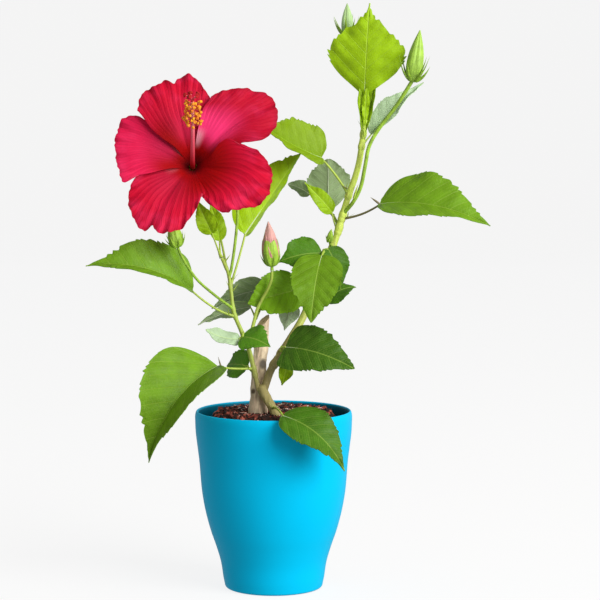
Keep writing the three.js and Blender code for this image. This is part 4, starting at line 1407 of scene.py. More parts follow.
def roots_on(name):
    """The heights at which stalks leave a limb."""
    rows = [*LEAVES.values(), *TUFTS.values(), *BUDS.values()]
    return sorted({row.at for row in rows if row.limb == name and row.at != "tip"})


def limb_point(name, at):
    """The axis point of a limb at a height or at its tip, and the limb's radius there."""
    route = Route(LIMBS[name].path)
    share = 1.0 if at == "tip" else route.share_at(at)
    return route.at(share), float(limb_radius(name, share))


def stalk_start(name, at, aim, inside=STALK_INSIDE):
    """Where a stalk that aims at a point starts, inside the limb's skin."""
    point, radius = limb_point(name, at)
    return point + unit(np.asarray(aim, float) - point) * radius * inside


def shoot_rings(name):
    """Rings of a green shoot: swollen at each node, faintly ribbed, with a scar ring."""
    limb = LIMBS[name]
    route = limb_route(name, SHOOT_SUNK)
    shares = np.linspace(0, 1, limb.steps)
    reach = np.broadcast_to(limb_radius(name, shares)[:, None], (limb.steps, limb.sides)).copy()
    heights = route.at(shares)[:, 2]
    for height in roots_on(name):
        gap = (heights - height)[:, None]
        swell = NODE_SWELL * np.exp(-((gap / NODE_REACH) ** 2))
        scar = SCAR_DEPTH * np.exp(-(((gap + SCAR_DROP) / SCAR_REACH) ** 2))
        reach *= 1 + swell - scar
    reach *= 1 + 0.025 * np.cos(5 * full_turn(limb.sides) + 6 * shares[:, None])
    return tube(route, shares, reach, limb.sides)


def trunk_rings(relief):
    """The old trunk: furrowed bark with a knot, a cut scar and a slanting sawn top."""
    limb = LIMBS["trunk"]
    route = limb_route("trunk", FOOT_SUNK)
    shares = np.linspace(0, 1, limb.steps)
    rings, pattern = tube(route, shares, limb_radius("trunk", shares), limb.sides)
    centre = route.at(shares)[:, None]
    outward = unit(rings - centre)
    stretched = rings * (1, 1, 0.16)
    furrow = np.abs(ripple(stretched, 5.0, 3)) * -1.3 + ripple(rings * (1, 1, 0.4), 3.0, 4) * 0.5
    lump = ripple(rings, 16.0, 5) * 0.7
    reach = relief * (furrow + lump)
    for place, size, height in TRUNK_LUMPS:
        away = np.linalg.norm((rings - place) * (1, 1, 0.8), axis=-1)
        reach = reach + height * np.exp(-((away / size) ** 2))
    rings = rings + outward * reach[..., None]
    rise = limb.path[-1][2] + (rings[-1, :, :2] - limb.path[-1][:2]) @ TRUNK_SLANT
    fade = smooth(shares, 0.8, 1.0)[:, None]
    slanted = rise[None] - (1 - shares[:, None]) * route.length
    rings[..., 2] = mix(rings[..., 2], slanted, fade * shares[:, None] ** 8)
    rings[-1, :, 2] = rise
    inner = np.array(CUT_FACE_RINGS)[:, None, None]
    middle = rings[-1].mean(0)
    face = middle + (rings[-1] - middle) * inner
    face[..., 2] -= 0.5 * (1 - inner[..., 0]) + 0.12 * np.sin(20 * inner[..., 0])
    face_map = np.broadcast_to(pattern[-1], (len(inner), *pattern[-1].shape)).copy()
    face_map[..., 1] = 2 - inner[..., 0]
    return np.vstack([rings, face]), np.vstack([pattern, face_map])


def stem_rings(relief):
    """The young stem: fine bark, ending in a rounded knuckle from which the shoots rise."""
    limb = LIMBS["young_stem"]
    route = limb_route("young_stem", FOOT_SUNK)
    shares = np.linspace(0, 1, limb.steps)
    rings, pattern = tube(route, shares, limb_radius("young_stem", shares), limb.sides)
    outward = unit(rings - route.at(shares)[:, None])
    reach = relief * (ripple(rings * (1, 1, 0.25), 3.0, 8) * 0.7 + ripple(rings, 8.0, 9) * 0.8)
    rings = rings + outward * reach[..., None]
    top = route.at(1.0)
    cap = np.linspace(0.15, 1.0, KNUCKLE_ROWS)[:, None, None] * math.pi / 2
    dome = top + (rings[-1] - top) * np.cos(cap * 0.96) + route.way(1.0) * KNUCKLE_RISE * np.sin(cap)
    dome_map = np.broadcast_to(pattern[-1], (KNUCKLE_ROWS, *pattern[-1].shape))
    return np.vstack([rings, dome]), np.vstack([pattern, dome_map])


# Leaf surfaces


def half_width(s, shape):
    """Share of a leaf's full half-width: s^rise (1 - s)^fall, less at the drawn-out tip."""
    rise, fall = shape
    s = np.clip(s, 0.004, 0.998)
    widest = rise / (rise + fall)
    full = widest**rise * (1 - widest) ** fall
    return s**rise * (1 - s) ** fall * (1 - TIP_DRIP * smooth(s, 0.6, 1)) / full


def vein_count(along, outward, length, veins):
    """A value that is whole on each side vein, from a place along and out from the midrib.

    Side veins leave the midrib at even steps and lean forward. Where a vein would start behind
    the base, it fans out of the base instead.
    """
    start = along - VEIN_LEAN * outward
    fan = np.degrees(np.arctan2(outward, np.maximum(along, 1e-6)))
    edge = math.degrees(math.atan(1 / VEIN_LEAN))
    return np.where(start > 0, start / length * veins * VEIN_CROWDING, (edge - fan) / BASAL_TURN)


def blade(leaf, look, seed):
    """A leaf's middle surface on a grid, with its vein map and its normals.

    Point = base + along . s . length + side . reach . cos(fold)
    + face . (|reach| sin(fold) + (arch + wave) 4 s (1 - s) + relief), with reach the half-width
    times the place across, cut into teeth at the margin.
    """
    base, tip = np.array(leaf.base, float), np.array(leaf.tip, float)
    length = float(np.linalg.norm(tip - base))
    along = (tip - base) / length
    face = about(np.array(leaf.face, float), along)
    side = np.cross(along, face)
    fold = math.radians(leaf.fold)
    s = np.linspace(0, 1, int(np.clip(length / (look.row / MM), 50, 150)))[:, None]
    t = np.sin(np.linspace(-1, 1, BLADE_COLUMNS) * math.pi / 2)[None, :]
    half = np.maximum(leaf.width / 2 * half_width(s, leaf.shape), 0.5)
    count = s * length / (look.pitch / MM) / max(0.6, min(1.0, length / 80))
    way = np.mod(count + 0.35 * np.sin(2.3 * count + seed) + 0.2 * np.sign(t), 1.0)
    uneven = 0.75 + 0.35 * np.sin(1.3 * count + seed)
    depth = leaf.teeth * look.tooth / MM * min(1.0, leaf.width / 50) * uneven
    depth = depth * np.clip(half / 11, 0.3, 1)
    tooth = way * (1 - smooth(way, 0.74, 1.0)) * smooth(s, 0.1, 0.3) * (1 - smooth(s, 0.95, 1.0))
    reach = t * half + np.sign(t) * depth * (tooth - 0.3 * smooth(s, 0.1, 0.3)) * t**4
    ahead = s * length + depth * tooth * 0.9 * t**4
    bulge = 4 * s * (1 - s)
    wave = LEAF_WAVE * np.sin(9 * s + 2 * np.sign(t)) * t**2
    outward = np.abs(t) * half
    vein = vein_count(s * length, outward, length, look.veins)
    scale = min(1.0, length / 70)
    between = 0.5 - 0.5 * np.cos(TAU * vein)
    inner = smooth(np.abs(t), 0.0, 0.4) * (1 - smooth(np.abs(t), 0.75, 1.0))
    relief = look.relief / MM * scale * (between * inner - 0.8 * np.exp(-((outward / 1.3) ** 2)))
    flat = np.stack([ahead, reach, np.zeros_like(reach)], -1)
    crumple = ripple(flat + seed * 31.0, length * 0.22, seed) * 0.9 * scale * np.abs(t) ** 1.5
    height = np.abs(reach) * math.sin(fold) + (leaf.arch + wave) * bulge + relief + crumple
    points = base + ahead[..., None] * along + (reach * math.cos(fold))[..., None] * side
    points = points + height[..., None] * face
    normals = unit(np.cross(np.gradient(points, axis=1), np.gradient(points, axis=0)))
    normals *= np.sign((normals * face).sum(-1, keepdims=True).mean())
    return points, np.stack([vein, t * half], -1), normals


def slab(points, normals, pattern, thickness):
    """A thin closed body round a middle surface: its front row, then its back row reversed."""
    thin = thickness / 2
    front, back = points + normals * thin, points - normals * thin
    rings = np.concatenate([front, back[:, ::-1]], 1)
    maps = np.concatenate([pattern, pattern[:, ::-1], pattern[:, :1]], 1)
    columns = points.shape[1]
    under = np.zeros(2 * columns)
    under[columns : 2 * columns - 1] = 1
    return rings, maps, under


def stalk_route(start, bend, base):
    """A leaf stalk's route: a quadratic curve that leaves start for bend and ends at base."""
    u = np.linspace(0, 1, 14)[:, None]
    start, bend, base = (np.asarray(p, float) for p in (start, bend, base))
    return Route((1 - u) ** 2 * start + 2 * u * (1 - u) * bend + u * u * base)


def add_stalk(sheaf, route, radius, tint):
    """A stalk, thicker where it leaves the plant and slimmer towards the blade."""
    shares = np.linspace(0, 1, 36)
    reach = radius * (1 + 0.55 * np.exp(-shares * route.length / 2.6) - 0.2 * shares)
    rings, pattern = tube(route, shares, reach, 12)
    sheaf.skin(rings, pattern, tint)


def add_awl(sheaf, start, way, length, width, bend, tint=0.0, depth=0.35):
    """A slim pointed bract: an oval section, of a depth as a share of its width, that narrows to
    a point and bends aside."""
    k = np.linspace(0, 1, 14)[:, None]
    way, bend = unit(way), np.asarray(bend, float)
    spine = np.asarray(start) + way * length * k + bend * k**2
    first, second = across(np.broadcast_to(way, spine.shape))
    reach = np.maximum(width / 2 * (1 - k) ** 0.7 * (0.55 + 1.4 * k * (1 - k)), 0.05)
    ring = circle(first, second, 8, depth)
    sheaf.skin(spine[:, None] + reach[..., None] * ring, tube_map(k[:, 0], 8), tint)


def add_leaf(sheaves, stalks, leaf, start, look, seed):
    """A leaf's blade with the rib under it, and its stalk with two stipules at the root."""
    points, pattern, normals = blade(leaf, look, seed)
    tint = leaf.tint + float(np.random.default_rng(seed).uniform(-TINT_SPREAD, TINT_SPREAD))
    rings, maps, under = slab(points, normals, pattern, look.thickness / MM)
    sheaves[leaf.colour].skin(rings, maps, tint, under)
    middle = points.shape[1] // 2
    rib = Route((points - normals * RIB_DROP)[::6, middle])
    shares = np.linspace(0, 0.97, 40)
    rib_rings, _ = tube(rib, shares, mix(0.85, 0.12, shares**0.7) * min(1, leaf.width / 40), 8)
    rib_map = np.full((len(shares), 9, 2), 0.5) * (1, 0)
    sheaves[leaf.colour].skin(rib_rings, rib_map, tint, np.ones(8))
    bend = leaf.bend or mix(start, np.array(leaf.base, float), 0.5)
    route = stalk_route(start, bend, points[1, middle])
    add_stalk(stalks, route, WIDE_STALK if leaf.width > WIDE_LEAF else NARROW_STALK, leaf.stalk)
    if leaf.bend and leaf.width > STIPULED_LEAF:
        out = route.way(0.1)
        sideways = unit(np.cross(out, UP + 0.2))
        for hand in (-1, 1):
            root = route.at(0.12) + hand * sideways * 0.9
            way = out * 0.4 + hand * sideways * 0.7 + UP * 0.7
            bend = hand * sideways * 1.2 + out
            add_awl(stalks, root, way, STIPULE_LENGTH, STIPULE_WIDTH, bend)


# Bud and bloom surfaces


def bud_frame(bud):
    """A bud's base, its axis and length, and two directions square to the axis."""
    base, tip = np.array(bud.base, float), np.array(bud.tip, float)
    length = float(np.linalg.norm(tip - base))
    axis = (tip - base) / length
    first, second = across(axis[None])
    return base, axis, length, first[0], second[0]


def bud_rings(bud, low, high, relief, grow=1.0, notch=0.0):
    """Rings of a bud between two shares of its length: its outline times a relief of turn and
    share, round its axis. A notch draws the upper end down between five lobes."""
    base, axis, length, first, second = bud_frame(bud)
    outline = Route([(share, width, 0) for share, width in BUD_SHAPE]).points
    rows = np.linspace(low, high, BUD_ROWS)
    turn = full_turn(BUD_SIDES)[None, :]
    k = rows[:, None] * (1 - notch * (0.5 - 0.5 * np.cos(5 * turn)))
    reach = bud.radius * grow * np.interp(k, outline[:, 0], outline[:, 1]) * relief(turn, k)
    ring = np.cos(turn)[..., None] * first + np.sin(turn)[..., None] * second
    return base + axis * length * k[..., None] + reach[..., None] * ring, tube_map(rows, BUD_SIDES)


def sepals(turn, k):
    """Five pressed lobes: a shallow groove between lobes and a low keel on each."""
    wave = np.cos(5 * turn)
    return 1 + 0.045 * wave - 0.07 * np.exp(-(((1 + wave) / 0.12) ** 2)) * smooth(k, 0.2, 0.45)


def furled(turn, k):
    """Petals rolled round each other: five overlapping steps that wind up the bud."""
    way = np.mod((turn * 5 + 9 * k) / TAU, 1.0)
    return 1 + 0.13 * (way - 0.5) * smooth(k, 0.1, 0.3)


def add_bracts(sheaf, base, axis, first, second, radius, length, count, seed):
    """A whorl of slim bracts under a calyx, each leaning out by its own share and curving back up."""
    draw = np.random.default_rng(seed)
    for number in range(count):
        turn = TAU * (number + draw.uniform(-0.15, 0.15)) / count
        out = turned(first, second, turn)
        way = axis * draw.uniform(0.35, 0.7) + out * draw.uniform(0.7, 0.95)
        size = length * draw.uniform(0.75, 1.05)
        curl = (axis * draw.uniform(0.3, 0.5) - out * draw.uniform(0.1, 0.25)) * size
        root = base + out * radius * 0.4
        add_awl(sheaf, root, way, size * BRACT_STRAIGHT, BRACT_WIDTH, curl, depth=BRACT_DEPTH)


def bloom_axes():
    """The bloom's own directions: out along its axis, up across it, and to the right."""
    out = unit(BLOOM_AXIS)
    up = about(UP, out)
    return out, up, np.cross(up, out)


def bloom_point(along, upward=0.0, rightward=0.0):
    """A point of the bloom by its place along, up across and right across its axis."""
    out, up, right = bloom_axes()
    return np.array(BLOOM_FOOT) + along * out + upward * up + rightward * right


def funnel(radius):
    """Height of the bloom's funnel: depth (1 - e^(-r / mouth)), less the square of how many spans
    r lies beyond the reflex's start, times its drop."""
    reflex = REFLEX_DROP * np.maximum(0, (radius - REFLEX_START) / REFLEX_SPAN) ** 2
    return BLOOM_DEPTH * (1 - np.exp(-radius / BLOOM_MOUTH)) - reflex


def claw_spread(turn, side):
    """Half the free angle between a petal and its neighbour on one side."""
    gaps = [(side * (other.turn - turn)) % 360 for other in PETALS.values()]
    return min(gap for gap in gaps if gap > 0) / 2


def petal_grid(petal, look, seed):
    """A petal's middle surface, its vein map and its normals.

    In the bloom's plane a point lies at a share s of the rim's reach, at an angle that opens
    from the claw through the waist to the rim. Out of the plane it follows the funnel, leads its
    neighbour by a twist, and is ruffled more and more towards the rim.
    """
    s = np.linspace(0.05, 1, PETAL_ROWS)[:, None]
    t = np.linspace(-1, 1, PETAL_COLUMNS)[None, :]
    rim = Route([(r * math.cos(math.radians(a)), r * math.sin(math.radians(a)), 0) for a, r in petal.rim])
    edge = rim.at((t[0] + 1) / 2)
    rim_reach = np.hypot(edge[:, 0], edge[:, 1])[None, :]
    rim_turn = np.degrees(np.unwrap(np.arctan2(edge[:, 1], edge[:, 0])))[None, :]
    rim_turn = rim_turn + 360 * np.round((petal.turn - rim_turn.mean()) / 360)
    side = (t < 0).astype(int)
    claw = np.array([claw_spread(petal.turn, -1), claw_spread(petal.turn, 1)])[side]
    waist = np.array(petal.waist, float)[side]
    inner = petal.turn - t * (mix(claw, waist, smooth(s, 0.18, 0.4)) + PETAL_LAP)
    angle = np.radians(mix(inner, rim_turn, smooth(s, 0.5, 1)))
    scallop = 0.006 * np.sin(23 * angle + 2 * seed) + 0.005 * np.sin(47 * angle + seed)
    scallop = scallop + 0.004 * np.sin(83 * angle)
    reach = mix(petal.reach, rim_reach, smooth(s, 0.25, 1))
    radius = reach * s * (1 + scallop * s**5)
    lead = -PETAL_TWIST * t * smooth(s, 0.08, 0.3)
    ruffle = np.sin(13 * angle + 1) * s**3 * 0.75 + 0.8 * np.sin(31 * angle + 1.7 * seed) * s**6
    ruffle = ruffle + 0.4 * np.sin(57 * angle + 3 * seed) * s**9
    ruffle = ruffle * look.ruffle / MM * (1 - 0.5 * np.abs(t) ** 3)
    furrow = 0.16 * np.cos(TAU * t * look.veins / 2) * smooth(s, 0.2, 0.6)
    keel = 1.6 * np.exp(-((t / 0.16) ** 2)) * smooth(s, 0.1, 0.35) * (1 - smooth(s, 0.4, 0.9))
    out, up, right = bloom_axes()
    height = funnel(radius) + lead + ruffle + furrow - keel
    points = np.array(BLOOM_FOOT) + (radius * np.cos(angle))[..., None] * right
    points = points + (radius * np.sin(angle))[..., None] * up + height[..., None] * out
    normals = unit(np.cross(np.gradient(points, axis=1), np.gradient(points, axis=0)))
    normals *= np.sign((normals @ out).mean())
    # the half that takes the painted highlights is given map values above 0
    hand = -1 if petal.flush < 0 else 1
    pattern = np.stack(np.broadcast_arrays(hand * t * look.veins / 2, s), -1)
    return points, pattern, normals


def column_route():
    """The column's route, from the throat out and upwards."""
    return Route([bloom_point(*place) for place in COLUMN])


def calyx_rings():
    """The calyx: a five-lobed cup, out round its rim and back inside, as rings along the axis."""
    out, up, right = bloom_axes()
    turn = full_turn(CALYX_SIDES)[None, :]
    lobe = 0.5 + 0.5 * np.cos(5 * turn)
    rows = np.array(CALYX_OUTSIDE + CALYX_INSIDE)
    rim = smooth(rows[:, 0], -2, 6)[:, None]
    along = rows[:, :1] + rim * lobe * LOBE_LENGTH
    radius = rows[:, 1:] * (1 + 0.03 * np.cos(5 * turn)) + rim * lobe * LOBE_SPREAD
    ring = np.cos(turn)[..., None] * right + np.sin(turn)[..., None] * up
    rings = np.array(BLOOM_FOOT) + along[..., None] * out + radius[..., None] * ring
    return rings, tube_map(np.linspace(0, 1, len(rows)), CALYX_SIDES)


# Operators, one for each piece or group of like pieces


def plant(context):
    """The plant's settings."""
    return context.scene.hibiscus


class HIBISCUS_OT_pot(Operator):
    """Turn the plastic pot"""

    bl_idname = "hibiscus.pot"
    bl_label = "Pot"

    def execute(self, context):
        look = plant(context).pot
        sheaf = Sheaf()
        sheaf.skin(*revolve(pot_profile(), look.sides))
        sheaf.build("pot_shell", plastic_finish(look), "pot_plastic", ["pot"], crease=50)
        return {"FINISHED"}


class HIBISCUS_OT_soil(Operator):
    """Fill the pot with soil and strew chips over it"""

    bl_idname = "hibiscus.soil"
    bl_label = "Soil"

    def execute(self, context):
        look = plant(context).soil
        height = look.relief / MM

        def uneven(rings):
            """The surface raised and lowered at random, and its bottom and wall left alone."""
            waves = 0.6 * ripple(rings, 9, 21) + 0.5 * ripple(rings, 3, 22)
            up = smooth(rings[..., 2], SOIL_EDGE - 4, SOIL_EDGE) * waves
            rings = rings.copy()
            rings[..., 2] += height * np.minimum(up, 0.6)
            return rings

        bed = Sheaf()
        bed.skin(*revolve(soil_profile(), 144, uneven))
        colour = tuple(look.colour)
        bed.build("soil_bed", soil_finish("soil", colour, colour), "potting_soil", ["soil"], crease=60)
        for seed, (kind, (share, low, high, size)) in enumerate(CHIP_KINDS.items(), 31):
            draw = np.random.default_rng(seed)
            corners = chips(draw, int(look.chips * share), look.chip_size / MM * size * 2, CHIP_REACH)
            strewn = Sheaf()
            strewn.copies(corners, BLOCK_FACES, draw.uniform(0, 1, len(corners)))
            skin = soil_finish(f"chips_{kind}", low, high)
            strewn.build(f"soil_chips_{kind}", skin, "potting_soil", crease=20)
        return {"FINISHED"}


class HIBISCUS_OT_trunk(Operator):
    """Carve the old sawn-off trunk"""

    bl_idname = "hibiscus.trunk"
    bl_label = "Trunk"

    def execute(self, context):
        look = plant(context).bark
        sheaf = Sheaf()
        sheaf.skin(*trunk_rings(look.relief / MM))
        sheaf.build("trunk_bark", trunk_finish(tuple(look.trunk)), "old_bark", ["trunk"])
        return {"FINISHED"}


class HIBISCUS_OT_shoots(Operator):
    """Grow the young stem and its shoots"""

    bl_idname = "hibiscus.shoots"
    bl_label = "Stem and Shoots"

    def execute(self, context):
        look = plant(context).bark
        stem = Sheaf()
        stem.skin(*stem_rings(look.relief / MM * 0.6))
        bark = stem_finish("young_bark", tuple(look.stem), shade(look.stem, 1.1), (0.2, 0.9), 0.8, 0.5)
        stem.build("young_stem_bark", bark, "young_bark", ["young_stem"])
        woody = towards(tuple(look.stem), screen(0.52, 0.44, 0.27), 0.35)
        skins = {
            "shoot_right": (tuple(look.lime), (0.08, 0.45)),
            "shoot_left": (tuple(look.green), (0.0, 0.3)),
            "shoot_centre": (tuple(look.green), (0.0, 0.2)),
        }
        for name, (green, change) in skins.items():
            sheaf = Sheaf()
            sheaf.skin(*shoot_rings(name))
            skin = stem_finish(name + "_skin", woody, green, change, 0.55, 0.3)
            sheaf.build(name + "_bark", skin, "green_stem", [name])
        return {"FINISHED"}


class HIBISCUS_OT_leaves(Operator):
    """Set the leaves, their stalks and stipules"""

    bl_idname = "hibiscus.leaves"
    bl_label = "Leaves"

    def execute(self, context):
        look = plant(context).leaf
        sheaves = {colour: Sheaf() for colour in LEAF_SLOTS}
        nodes = {colour: [] for colour in LEAF_SLOTS}
        stalks = Sheaf()
        seed = 100
        for name, leaf in LEAVES.items():
            start = stalk_start(leaf.limb, leaf.at, leaf.bend or leaf.base)
            add_leaf(sheaves, stalks, leaf, start, look, seed)
            nodes[leaf.colour].append(name)
            seed += 1
        for name, tuft in TUFTS.items():
            start = stalk_start(tuft.limb, tuft.at, tuft.end)
            end = np.array(tuft.end, float)
            add_stalk(stalks, Route([start, end + unit(end - start) * 1.5]), tuft.radius, 0.0)
            for leaf in tuft.leaves:
                add_leaf(sheaves, stalks, leaf, end, look, seed)
                seed += 1
            nodes[tuft.leaves[0].colour].append(name)
        for leaf in YOUNG:
            add_leaf(sheaves, stalks, leaf, stalk_start(leaf.limb, leaf.at, leaf.bend), look, seed)
            seed += 1
        for start, tip, width, brown in BRACTS:
            way = np.subtract(tip, start)
            length = np.linalg.norm(way)
            add_awl(stalks, start, way, length, width, (0, 0, 0), brown, LOOSE_BRACT_DEPTH)
        for colour, slot in LEAF_SLOTS.items():
            finish = leaf_finish("leaf_" + colour, tuple(getattr(look, colour)))
            sheaves[colour].build(f"leaves_{colour}", finish, slot, nodes[colour], crease=50)
        bark = plant(context).bark
        skin = stem_finish("stalk_skin", tuple(bark.green), shade(bark.green, 1.2), (0.0, 0.6), 0.5, 0.1)
        stalks.build("leaf_stalks", skin, "green_stem")
        return {"FINISHED"}


class HIBISCUS_OT_buds(Operator):
    """Form the closed buds on their stalks"""

    bl_idname = "hibiscus.buds"
    bl_label = "Buds"

    def execute(self, context):
        look = plant(context).bud
        green = tuple(look.green)
        calyx, petals = Sheaf(), Sheaf()
        for seed, (name, bud) in enumerate(BUDS.items(), 60):
            base, axis, _, first, second = bud_frame(bud)
            start = stalk_start(bud.limb, bud.at, bud.bends[0])
            route = Route([start, *bud.bends, base + axis])
            shares = np.linspace(0, 1, 60)
            reach = bud.stalk * (1 + 0.4 * np.exp(-shares * route.length / 3))
            rings, pattern = tube(route, shares, reach, 14)
            calyx.skin(rings, pattern * (1, 0.3))
            if name == "bud_pink":
                petals.skin(*bud_rings(bud, 0.12, 1, furled, 0.97))
                calyx.skin(*bud_rings(bud, 0, 0.6, sepals, 1.04, notch=0.68))
            else:
                calyx.skin(*bud_rings(bud, 0, 1, sepals), bud.tint)
            root = base + axis * 0.8
            add_bracts(calyx, root, axis, first, second, bud.radius, bud.bracts, look.bracts, seed)
        skin = bud_finish("bud_green", green, shade(green, 1.25))
        nodes = ["bud_top_right", "bud_top_left", "bud_left", "bud_small"]
        calyx.build("buds_green", skin, "bud_green", nodes)
        pink = tuple(look.pink)
        skin = bud_finish("bud_pink", pink, towards(pink, screen(0.93, 0.80, 0.72), 0.5))
        petals.build("bud_pink_petals", skin, "bud_pink", ["bud_pink"])
        return {"FINISHED"}


class HIBISCUS_OT_bloom(Operator):
    """Open the bloom: petals, column, anthers, stigma, calyx and stalk"""

    bl_idname = "hibiscus.bloom"
    bl_label = "Bloom"

    def execute(self, context):
        look = plant(context).bloom
        for seed, (name, petal) in enumerate(PETALS.items(), 1):
            points, pattern, normals = petal_grid(petal, look, seed)
            sheaf = Sheaf()
            rings, maps, under = slab(points, normals, pattern, look.thickness / MM)
            # each face's tint carries how strong the petal's painted highlights are
            sheaf.skin(rings, maps, abs(petal.flush), under)
            skin = petal_finish(look, petal.light, petal.rose)
            sheaf.build(name + "_blade", skin, "petal", [name], crease=60)
        self.column(look)
        self.stalk(plant(context).bud)
        return {"FINISHED"}

    def column(self, look):
        """The column with its anthers on short threads and five stigma pads."""
        route = column_route()
        shares = np.linspace(0, 1, 70)
        ribs = 1 + 0.05 * np.cos(5 * full_turn(COLUMN_SIDES))
        reach = mix(*COLUMN_RADIUS, shares)[:, None] * ribs
        tube_sheaf, pollen, pads = Sheaf(), Sheaf(), Sheaf()
        tube_sheaf.skin(*tube(route, shares, reach, COLUMN_SIDES))
        draw = np.random.default_rng(7)
        for number in range(look.anthers):
            share = mix(*ANTHER_SPAN, number / look.anthers)
            way = route.way(share)
            first, second = across(way[None])
            out = turned(first[0], second[0], ANTHER_TURN * number)
            root = route.at(share) + out * 0.8
            head = root + out * draw.uniform(3.0, 6.8) + way * draw.uniform(0.2, 2.4)
            thread = Route([root, mix(root, head, 0.5) - way * 0.3, head])
            tube_sheaf.skin(*tube(thread, np.linspace(0, 1, 6), np.full(6, THREAD_RADIUS), 6))
            aim = unit(draw.normal(size=3) + way)
            egg = blob(head, aim, draw.uniform(2.8, 3.8), draw.uniform(1.2, 1.7), pinch=0.3)
            pollen.skin(egg, tube_map(np.linspace(0, 1, 8), 10), draw.uniform(0, 1))
        top, way = route.at(1.0), route.way(1.0)
        first, second = across(way[None])
        for number in range(PAD_COUNT):
            out = turned(first[0], second[0], TAU * number / PAD_COUNT + 0.6)
            head = top + way * 5.8 + out * 5.4
            thread = Route([top - way, top + way * 2.4 + out * 1.2, head])
            tube_sheaf.skin(*tube(thread, np.linspace(0, 1, 12), np.full(12, 0.5), 8))
            pad = blob(head, unit(out + way * 0.6), 3.2, 2.0, PAD_SIDES, PAD_ROWS)
            pad = pad + unit(pad - head) * (0.25 * ripple(pad, 1.2, 90 + number))[..., None]
            pads.skin(pad, tube_map(np.linspace(0, 1, PAD_ROWS), PAD_SIDES))
        skin = column_finish(tuple(look.column))
        tube_sheaf.build("column_threads", skin, "column", ["bloom_column"])
        gold = tuple(look.anther)
        skin = soft_finish("anther", gold, screen(0.90, 0.45, 0.16), 380, 0.9, 0.3)
        pollen.build("anthers", skin, "column")
        red = tuple(look.stigma)
        skin = soft_finish("stigma", red, shade(red, 1.4), 500, 0.9, 0.3)
        pads.build("stigma_pads", skin, "column")

    def stalk(self, look):
        """The bloom's long stalk, its calyx and the bracts under it."""
        sheaf = Sheaf()
        start = stalk_start("shoot_left", STALK_ROOT[2] - 4, STALK_BENDS[0], 0.2)
        route = Route([start, STALK_ROOT, *STALK_BENDS, bloom_point(-15), bloom_point(-12)])
        shares = np.linspace(0, 1, 150)
        reach = STALK_RADIUS * (1 + 0.3 * np.exp(-shares * 30) + 0.5 * smooth(shares, 0.93, 1))
        reach = reach + 0.45 * np.exp(-(((shares - STALK_JOINT) / 0.012) ** 2))
        rings, pattern = tube(route, shares, reach, 16)
        sheaf.skin(rings, pattern * (1, 0.3))
        sheaf.skin(*calyx_rings())
        out, up, right = bloom_axes()
        add_bracts(sheaf, bloom_point(-13), out, up, right, 6, 17, look.bracts, 77)
        green = tuple(look.green)
        skin = bud_finish("calyx_green", green, shade(green, 1.25))
        sheaf.build("bloom_stalk_calyx", skin, "bud_green", ["bloom_stalk"])


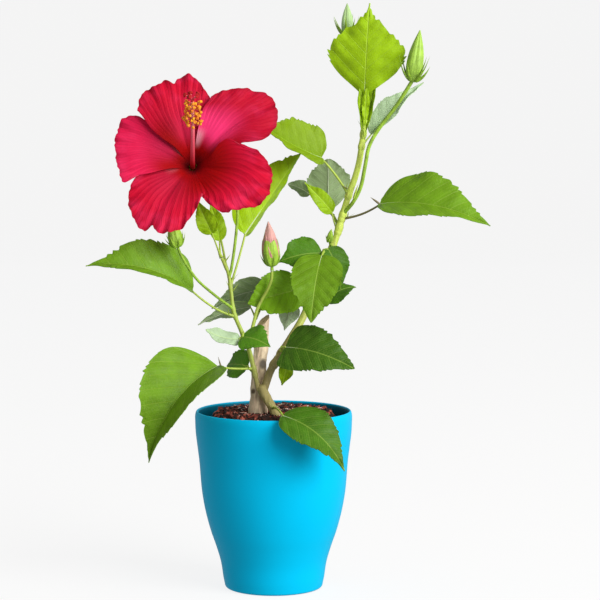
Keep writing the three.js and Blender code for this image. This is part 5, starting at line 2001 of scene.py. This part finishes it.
class HIBISCUS_OT_stage(Operator):
    """Set the round pale studio, its lights and the camera"""

    bl_idname = "hibiscus.stage"
    bl_label = "Stage"

    def execute(self, context):
        look = plant(context).stage
        self.studio(look)
        self.lamp("key", look.key, *KEY_LAMP)
        self.lamp("fill", look.fill, *FILL_LAMP)
        world = bpy.data.worlds.new("studio_air")
        world.use_nodes = True
        air = world.node_tree.nodes["Background"]
        air.inputs["Color"].default_value = (1, 1, 1, 1)
        air.inputs["Strength"].default_value = look.air
        context.scene.world = world
        context.scene.view_settings.view_transform = "Standard"
        lens = bpy.data.cameras.new("camera")
        lens.lens = look.lens
        lens.sensor_width = SENSOR_WIDTH
        camera = bpy.data.objects.new("camera", lens)
        context.scene.collection.objects.link(camera)
        camera.location = CAMERA_PLACE
        camera.rotation_euler = (math.radians(90 - CAMERA_PITCH), 0, 0)
        context.scene.camera = camera
        return {"FINISHED"}

    def studio(self, look):
        """A floor that rises into a wall all round, as one turned sheet open at its top."""
        floor = [(radius, 0) for radius in STUDIO_FLOOR]
        bend = arc((STUDIO_FLOOR[-1], STUDIO_BEND), (STUDIO_BEND, STUDIO_BEND), *STUDIO_ARC, 16)
        wall = [(STUDIO_FLOOR[-1] + STUDIO_BEND, height) for height in STUDIO_WALL]
        rings, _ = revolve(np.vstack([floor, bend, wall]) / MM, STUDIO_SIDES)
        points = rings.reshape(-1, 3) * MM - (0, 0, STUDIO_DROP)
        mesh = bpy.data.meshes.new("studio")
        mesh.from_pydata(points.tolist(), [], ring_faces(*rings.shape[:2]).tolist())
        mesh.polygons.foreach_set("use_smooth", np.ones(len(mesh.polygons), bool))
        pale = Finish("studio_pale", 0.9)
        pale.shader.inputs["Emission Color"].default_value = (1, 1, 1, 1)
        pale.shader.inputs["Emission Strength"].default_value = look.glow
        mesh.materials.append(pale.done(tuple(look.floor)))
        studio = bpy.data.objects.new("studio", mesh)
        studio.visible_diffuse = False
        studio.visible_glossy = False
        bpy.context.scene.collection.objects.link(studio)

    def lamp(self, name, power, size, place, aim, colour):
        """A square soft light at a place that looks at an aim."""
        data = bpy.data.lights.new(name, "AREA")
        data.energy, data.size, data.color = power, size, colour
        lamp = bpy.data.objects.new(name, data)
        bpy.context.scene.collection.objects.link(lamp)
        lamp.location = place
        lamp.rotation_euler = (Vector(aim) - Vector(place)).to_track_quat("-Z", "Y").to_euler()


STEPS = ("pot", "soil", "trunk", "shoots", "leaves", "buds", "bloom", "stage")


class HIBISCUS_PT_panel(Panel):
    """The steps that build the potted hibiscus"""

    bl_idname = "HIBISCUS_PT_panel"
    bl_label = "Potted Hibiscus"
    bl_space_type = "VIEW_3D"
    bl_region_type = "UI"
    bl_category = "Hibiscus"

    def draw(self, context):
        for step in STEPS:
            self.layout.operator("hibiscus." + step)


CLASSES = (
    PotSettings,
    SoilSettings,
    BarkSettings,
    LeafSettings,
    BudSettings,
    BloomSettings,
    StageSettings,
    PlantSettings,
    HIBISCUS_OT_pot,
    HIBISCUS_OT_soil,
    HIBISCUS_OT_trunk,
    HIBISCUS_OT_shoots,
    HIBISCUS_OT_leaves,
    HIBISCUS_OT_buds,
    HIBISCUS_OT_bloom,
    HIBISCUS_OT_stage,
    HIBISCUS_PT_panel,
)


def register():
    """Registers the classes and puts the settings on the scene."""
    for cls in CLASSES:
        bpy.utils.register_class(cls)
    bpy.types.Scene.hibiscus = PointerProperty(type=PlantSettings)


def unregister():
    """Takes the settings and the classes away again."""
    del bpy.types.Scene.hibiscus
    for cls in reversed(CLASSES):
        bpy.utils.unregister_class(cls)


def main():
    register()
    for step in STEPS:
        getattr(bpy.ops.hibiscus, step)()


if __name__ == "__main__":
    main()
